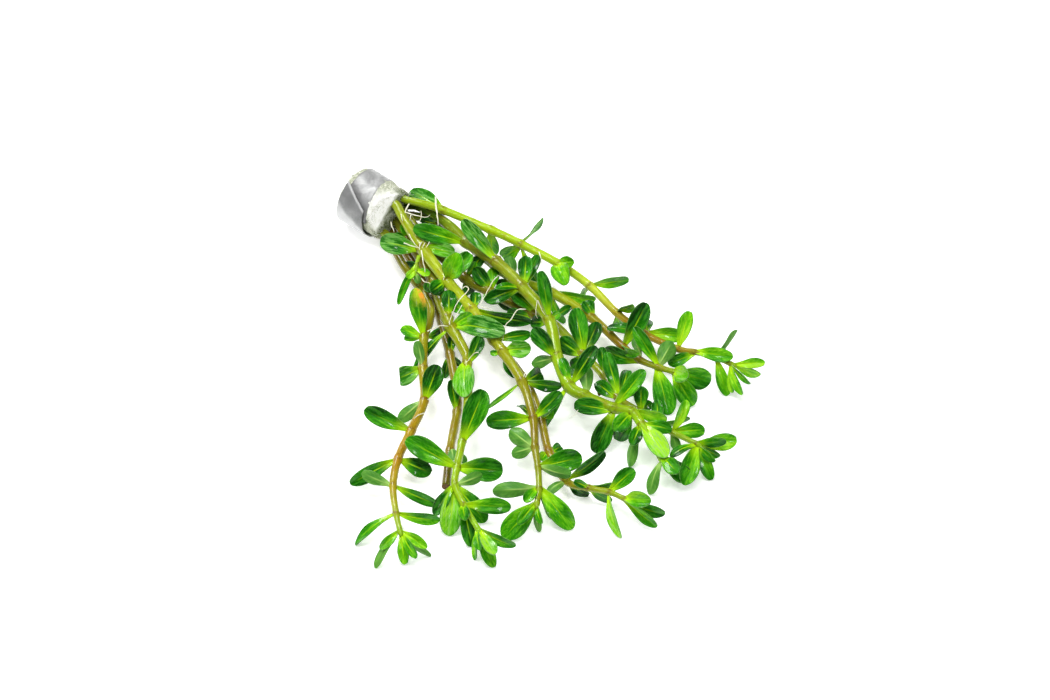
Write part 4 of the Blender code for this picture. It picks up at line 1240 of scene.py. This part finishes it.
def makePlug(finish):
    bm = bmesh.new()
    look = bm.verts.layers.float_vector.new("woolLook")
    rings, skin, end = sweep(bm, plug["segments"], woolStations())
    radial = plugSide * math.cos(plug["cutAngle"]) + upright * math.sin(plug["cutAngle"])
    slope = plugAxis * (plug["radius"] - plug["cutRadius"]) + radial * strip["setback"]
    slope.normalize()
    corner = plugPoint(0, 0, 0) + radial * plug["cutRadius"]
    poreScale, *poreForm = plug["pores"]
    lumpScale, lumpShare = plug["lumps"]
    bmesh.ops.recalc_face_normals(bm, faces=skin)
    bm.normal_update()
    for vert in bm.verts:
        over = (vert.co - corner).dot(slope)
        back = (plugPoint(0, 0, 0) - vert.co).dot(plugAxis)
        cut = 1.0 if over > 0 else 0.0
        # the cut facet and the wool round it are painted white: painted light on a face turned to the
        # lamps
        paintedLitShare = clamp(1 + over / plug["paintedLitReach"])
        vert.co -= slope * over * cut
        wet = clamp(1.15 - back / plug["wetReach"]) * (1 - cut)
        offset = vert.co - plugPoint(0, 0, back)
        low = clamp((plug["lowFrom"] - offset.dot(upright) / plug["radius"]) * 4)
        around = math.atan2(offset.dot(upright), offset.dot(plugSide))
        edge = strip["setback"] + strip["askew"] * (1 + math.cos(around - strip["askewAngle"]))
        near = math.exp(-(((back - edge - plug["swellOffset"]) / plug["swellReach"]) ** 2))
        vert.co += vert.normal * plug["swell"] * near * (1 - low) * (1 - cut)
        pores = noise.fractal(vert.co * poreScale, *poreForm)
        lumps = noise.noise(vert.co * lumpScale)
        depth = plug["roughness"] * (min(pores, 0.25) + lumps * lumpShare - 0.35)
        vert.co += vert.normal * depth * (0.35 if cut else 1.0)
        vert.co.z = max(vert.co.z, tableGap)
        vert[look] = (wet * (1 - paintedLitShare), max(cut, paintedLitShare), 0.0)
    piece = finishPiece("rock_wool_plug", bm, [finish])
    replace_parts(piece, "wool_plug")
    return piece


def makeFibres(plugPiece, finish):
    draw = random.Random(11)
    mesh = plugPiece.data
    shown = []
    for face in mesh.polygons:
        back = (plugPoint(0, 0, 0) - face.center).dot(plugAxis)
        if back < strip["setback"] or back > strip["setback"] + strip["width"]:
            shown.append(face)
    weights = [face.area for face in shown]
    whole = bmesh.new()
    tuft = bmesh.new()
    for number, face in enumerate(draw.choices(shown, weights, k=fibreForm["count"]), 1):
        along = Vector((draw.gauss(0, 1), draw.gauss(0, 1), draw.gauss(0, 1)))
        along = (along - face.normal * along.dot(face.normal)).normalized()
        direction = (along + face.normal * draw.uniform(*fibreForm["rise"])).normalized()
        length = draw.uniform(*fibreForm["length"]) * mm / fibreForm["steps"]
        radius = fibreForm["radius"] * draw.uniform(*fibreForm["radiusSpread"])
        bend = Vector((draw.gauss(0, 1), draw.gauss(0, 1), draw.gauss(0, 1))) * fibreForm["bend"]
        point = face.center - face.normal * fibreForm["rootDepth"] * mm
        stations = []
        for _ in range(fibreForm["steps"] + 1):
            stations.append((point, direction, radius))
            point = point + direction * length
            point.x = max(point.x, cadBounds[0][0] + radius)
            point.y = min(point.y, cadBounds[1][1] - radius)
            point.z = max(point.z, tableGap)
            direction = (direction + bend / fibreForm["steps"]).normalized()
        sweep(tuft, 3, stations)
        if number % fibreForm["tuft"] == 0:
            tuftMesh = bpy.data.meshes.new("tuft")
            tuft.to_mesh(tuftMesh)
            tuft.clear()
            whole.from_mesh(tuftMesh)
            bpy.data.meshes.remove(tuftMesh)
    tuft.free()
    bmesh.ops.recalc_face_normals(whole, faces=whole.faces)
    finishPiece("wool_fibres", whole, [finish])


# Soft metal strip


stripInks = {
    "dark": ink(146, 147, 146),
    "mid": ink(180, 181, 180),
    "light": ink(204, 205, 203),
    "fleck": ink(108, 109, 108),
    "below": ink(206, 207, 207),  # painted reflection: the light part under the lap
    # painted shade on the facet by the tab's end
    "paintedFacetShade": ink(112, 113, 113),
    # painted highlight along the tab's end
    "end": ink(220, 220, 220),
    "shade": ink(104, 104, 104),
}


def makeStripFinish():
    finish, tree, shader = newFinish("softMetal")
    place = objectPlace(tree)
    lap, past, shade = parts(tree, ownValue(tree, "stripLook"))
    broad = noiseOf(tree, place, 190, 4, 0.6, 0.6)
    fine = noiseOf(tree, place, 1300, 4)
    stops = [(0.3, stripInks["dark"]), (0.5, stripInks["mid"]), (0.68, stripInks["light"])]
    colour = rampOf(tree, broad, stops)
    # painted by region: reflection under the lap, shade on the facet, highlight at the tab's end, shadow
    # by it
    layers = {
        "fleck": fade(tree, fine, 0.56, 0.72, 0, 0.25),
        "below": product(tree, lap, fade(tree, past, 0.3, 0.44, 0.7, 0)),
        "paintedFacetShade": fade(tree, past, 0.34, 0.52, 0, 0.7),
        "end": fade(tree, past, 0.91, 0.97, 0, 0.65),
        "shade": product(tree, shade, 0.8),
    }
    for name, share in layers.items():
        colour = mixOf(tree, share, colour, stripInks[name])
    tree.links.new(fade(tree, fine, 0.3, 0.7, 0.48, 0.62), shader.inputs["Roughness"])
    height = total(tree, fine, product(tree, broad, 1.5))
    dress(tree, shader, colour, height, 0.12 * mm, 0.8)
    return finish


def makeStrip(finish):
    bm = bmesh.new()
    look = bm.verts.layers.float_vector.new("stripLook")
    long = strip["steps"] * strip["facesPerStep"]
    bmesh.ops.create_grid(bm, x_segments=long, y_segments=strip["facesAcross"], size=1.0)
    inner = strip["radius"] * math.cos(strip["stepAngle"] / 2)
    lengthwise, crosswise = strip["crease"]
    for vert in bm.verts:
        front = (vert.co.y + 1) / 2
        steps = strip["steps"] - strip["slant"] / (inner * strip["stepAngle"]) * front
        step = (vert.co.x + 1) / 2 * steps
        angle = strip["startAngle"] - step * strip["stepAngle"]
        lap = clamp((step - strip["lapStart"]) / strip["lapSteps"])
        lap = lap * lap * (3 - 2 * lap)
        askew = strip["askew"] * (1 + math.cos(angle - strip["askewAngle"]))
        back = strip["setback"] + strip["lapShift"] * lap + askew * front + (1 - front) * strip["width"]
        radial = plugSide * math.cos(angle) + upright * math.sin(angle)
        crease = Vector((step * lengthwise, front * crosswise, 0))
        dent = noise.noise(crease) * 0.6 + noise.noise(crease * strip["fineCrease"]) * 0.4
        edge = 1 - (2 * front - 1) ** 8 * 0.5
        reach = inner + strip["lapRise"] * lap + max(dent, -0.35) * strip["dent"] * edge
        vert.co = plugPoint(0, 0, back) + radial * reach
        vert.co.z = max(vert.co.z, strip["thickness"])
        # past rises towards the tab's end; shade is painted shadow on the turn under the tab's end, and
        # darkens the band along its back edge
        past = clamp(1 - (steps - step) / strip["facetSteps"])
        shade = clamp(1 - (step - steps + strip["turnSteps"]) / strip["shadeSteps"])
        shade = max(shade, clamp(1 - front * 9) * 0.7)
        vert[look] = (lap, past, shade * (1 - lap))
    bm.normal_update()
    middle = plugPoint(0, 0, strip["setback"] + strip["width"] / 2)
    face = next(iter(bm.faces))
    outward = face.calc_center_median() - middle
    outward -= plugAxis * outward.dot(plugAxis)
    if face.normal.dot(outward) > 0:
        bmesh.ops.reverse_faces(bm, faces=bm.faces)
        bm.normal_update()
    bmesh.ops.solidify(bm, geom=bm.faces[:], thickness=strip["thickness"])
    for face in bm.faces:
        face.smooth = True
    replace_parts(finishPiece("metal_band", bm, [finish]), "metal_strip")


# White roots, each from a stem's node

roots = {
    "sides": 6,
    "step": 0.4 * mm,
    "waver": 0.26 * mm,
    "waverLength": 1.6 * mm,
    "taper": 0.55,
    "uneven": 0.25,
    "unevenScale": 1500,
    "seed": 1,
    "runs": [
        (0.3, [(-34.9, 45.9, 14.6), (-34.8, 43.2, 16.2), (-34.4, 40.2, 16.8), (-34.2, 37.5, 16.8)]),
        (0.24, [(-42.9, 43.8, 16.8), (-43.5, 42.8, 17.2), (-44.1, 41.4, 17.2)]),
        (0.17, [(-44.1, 41.4, 17.2), (-42.3, 40.8, 17.4), (-39.6, 40.1, 17.3), (-37.5, 39.9, 17),
            (-36.6, 40.5, 16.6)]),
        (0.12, [(-39.3, 41.7, 17.4), (-39.2, 40.2, 17.5), (-39.9, 38.1, 17)]),
        (0.12, [(-42.3, 40.5, 17.2), (-42.6, 39, 16.8)]),
        (0.14, [(-45.3, 40.8, 16.4), (-45.1, 39.8, 16.5), (-44.7, 38.7, 16.2)]),
        (0.16, [(-48.3, 38.4, 14.8), (-48, 37, 15), (-47.4, 35.4, 14.6)]),
        (0.13, [(-42.9, 34.8, 15.6), (-41.4, 32.1, 15.4), (-39.6, 30.3, 14.8)]),
        (0.17, [(-44.4, 32.1, 14.4), (-42, 31.2, 14.8), (-39.6, 30.6, 14.8)]),
        (0.16, [(-39, 32.4, 14.9), (-39.6, 31.5, 15), (-39.9, 30, 14.8)]),
        (0.13, [(-38.1, 32.2, 14.9), (-38.4, 31.6, 15), (-38.9, 30.6, 14.8)]),
        (0.13, [(-36.8, 32.5, 14.8), (-37.1, 31.7, 15), (-37.7, 30.7, 14.8)]),
        (0.18, [(-39.2, 29.9, 14.8), (-38.7, 27, 14.6), (-38.4, 25.2, 14), (-38, 23.4, 13.2)]),
        (0.16, [(-31.4, 27.6, 14.2), (-31.8, 24.3, 14), (-32.6, 21, 13.4)]),
        (0.13, [(-39.2, 21.6, 10.2), (-38.4, 20.6, 10.4), (-36.8, 20, 10.2), (-36.2, 18.9, 10)]),
        (0.16, [(-26.8, 18.5, 14.4), (-25.9, 19.1, 14.6), (-25, 18.3, 14.6), (-25.8, 17.1, 14.4),
            (-27.6, 15.3, 13.8), (-28.8, 13.5, 13), (-30, 10.5, 11.6), (-30.9, 7.5, 10.4)]),
        (0.13, [(-27, 13.5, 12.8), (-28.4, 11, 12), (-29.7, 8.4, 10.8)]),
        (0.15, [(-16, 22.4, 14.4), (-17.6, 20.8, 14), (-19.2, 18, 13.4), (-20.4, 15.6, 13),
            (-22.1, 12.7, 12.4)]),
        (0.15, [(-21.3, 12.9, 12.4), (-19.4, 12.6, 12.2), (-17.5, 11.7, 11.2)]),
        (0.17, [(-7.9, 12.2, 13.6), (-9.9, 12.2, 13.4), (-11, 11.3, 13), (-12.3, 9.2, 12.2),
            (-13.7, 7.8, 12), (-14.3, 6, 11.6), (-14.7, 3.2, 11.2), (-15.4, 1.2, 10.4)]),
        (0.12, [(-4.4, 14.9, 13.8), (-4.9, 11.3, 13.8), (-4.4, 9.5, 13.2)]),
        (0.12, [(-4.2, 14.8, 13.8), (-3.3, 12.5, 13.8), (-2.2, 10.6, 13.4)]),
        (0.14, [(-9.2, 24.3, 11.6), (-8.2, 21.6, 11.8), (-7.2, 19.9, 11.6)]),
        (0.16, [(-37.4, 5.6, 9), (-34.5, 6.9, 10.2), (-32.6, 7.4, 10.4), (-31.2, 7.3, 10.2)]),
        (0.16, [(-21.3, -1.2, 10), (-22.1, -0.8, 10.6), (-23.3, -1, 10.6), (-24.6, -2.4, 10.4),
            (-26.1, -4.1, 10)]),
        (0.12, [(-8.8, -8.7, 10.4), (-7.8, -6.3, 10.8), (-7.2, -4, 10.8), (-5.1, -0.3, 10)]),
        (0.12, [(-8, -8.2, 10.4), (-7, -6, 10.8), (-6.6, -4.2, 10.6)]),
        (0.1, [(-37.4, -14.9, 8.2), (-34.4, -13.7, 8.8), (-31.2, -12, 8.4)]),
        (0.16, [(-38.2, -18.9, 8.4), (-39.9, -19.4, 8.6), (-41.5, -20.5, 8)]),
        (0.17, [(-3.9, 29.4, 12.6), (-3.2, 26.8, 12.9), (-3.4, 24.4, 12.4)]),
        (0.11, [(7.8, -18, 10.4), (7, -19.3, 10.4), (5.3, -20.8, 9.8)]),
        (0.05, [(-41.6, 49.2, 15), (-41.1, 51, 15.2), (-39.9, 53.4, 15), (-38.1, 54.9, 14.6)]),
    ],
}


def makeRoots(finish):
    noise.seed_set(roots["seed"])  # unseeded, noise_vector gives other values each run
    bm = bmesh.new()
    for number, (radius, places) in enumerate(roots["runs"]):
        curve, marks = smoothRoute([seen(*place) for place in places])
        count = max(4, round(marks[-1] / roots["step"]))
        stations = []
        for index in range(count + 1):
            share = index / count
            point, direction = atLength(curve, marks[-1] * share)
            sway = noise.noise_vector(Vector((share * marks[-1] / roots["waverLength"], number * 7, 3)))
            size = radius * mm * (1 - roots["taper"] * share**2)
            size *= 1 + noise.noise(point * roots["unevenScale"]) * roots["uneven"]
            stations.append((point + sway * roots["waver"] * share, direction, size))
        sweep(bm, roots["sides"], stations)
    bmesh.ops.recalc_face_normals(bm, faces=bm.faces)
    finishPiece("white_roots", bm, [finish])  # plant tissue, as the shoots are


def addTable():
    bm = bmesh.new()
    bmesh.ops.create_grid(bm, x_segments=1, y_segments=1, size=studio["tableSize"] / 2)
    mesh = bpy.data.meshes.new("table")
    bm.to_mesh(mesh)
    bm.free()
    finish, _, shader = newFinish("tablePaint")
    shader.inputs["Base Color"].default_value = (*studio["tableColour"], 1)
    shader.inputs["Emission Color"].default_value = (1, 1, 1, 1)
    shader.inputs["Emission Strength"].default_value = studio["tableGlow"]
    mesh.materials.append(finish)
    table = bpy.data.objects.new("table", mesh)
    bpy.context.scene.collection.objects.link(table)


addCamera()
addLights()
addTable()
print("camera, lights and table are set")

leafFinishes = [makeStemSkin(), makeLeafTop(), makeLeafUnder(), makeCutFace()]
for seed, shoot in enumerate(shoots, 1):
    growShoot(shoot, leafFinishes, seed)
    print("grown", shoot["node"])

woolPlug = makePlug(makeWoolFinish())
makeFibres(woolPlug, makeFibreFinish())
makeStrip(makeStripFinish())
print("plug, fibres and strip are made")

makeRoots(makeRootSkin())
print("roots are made")
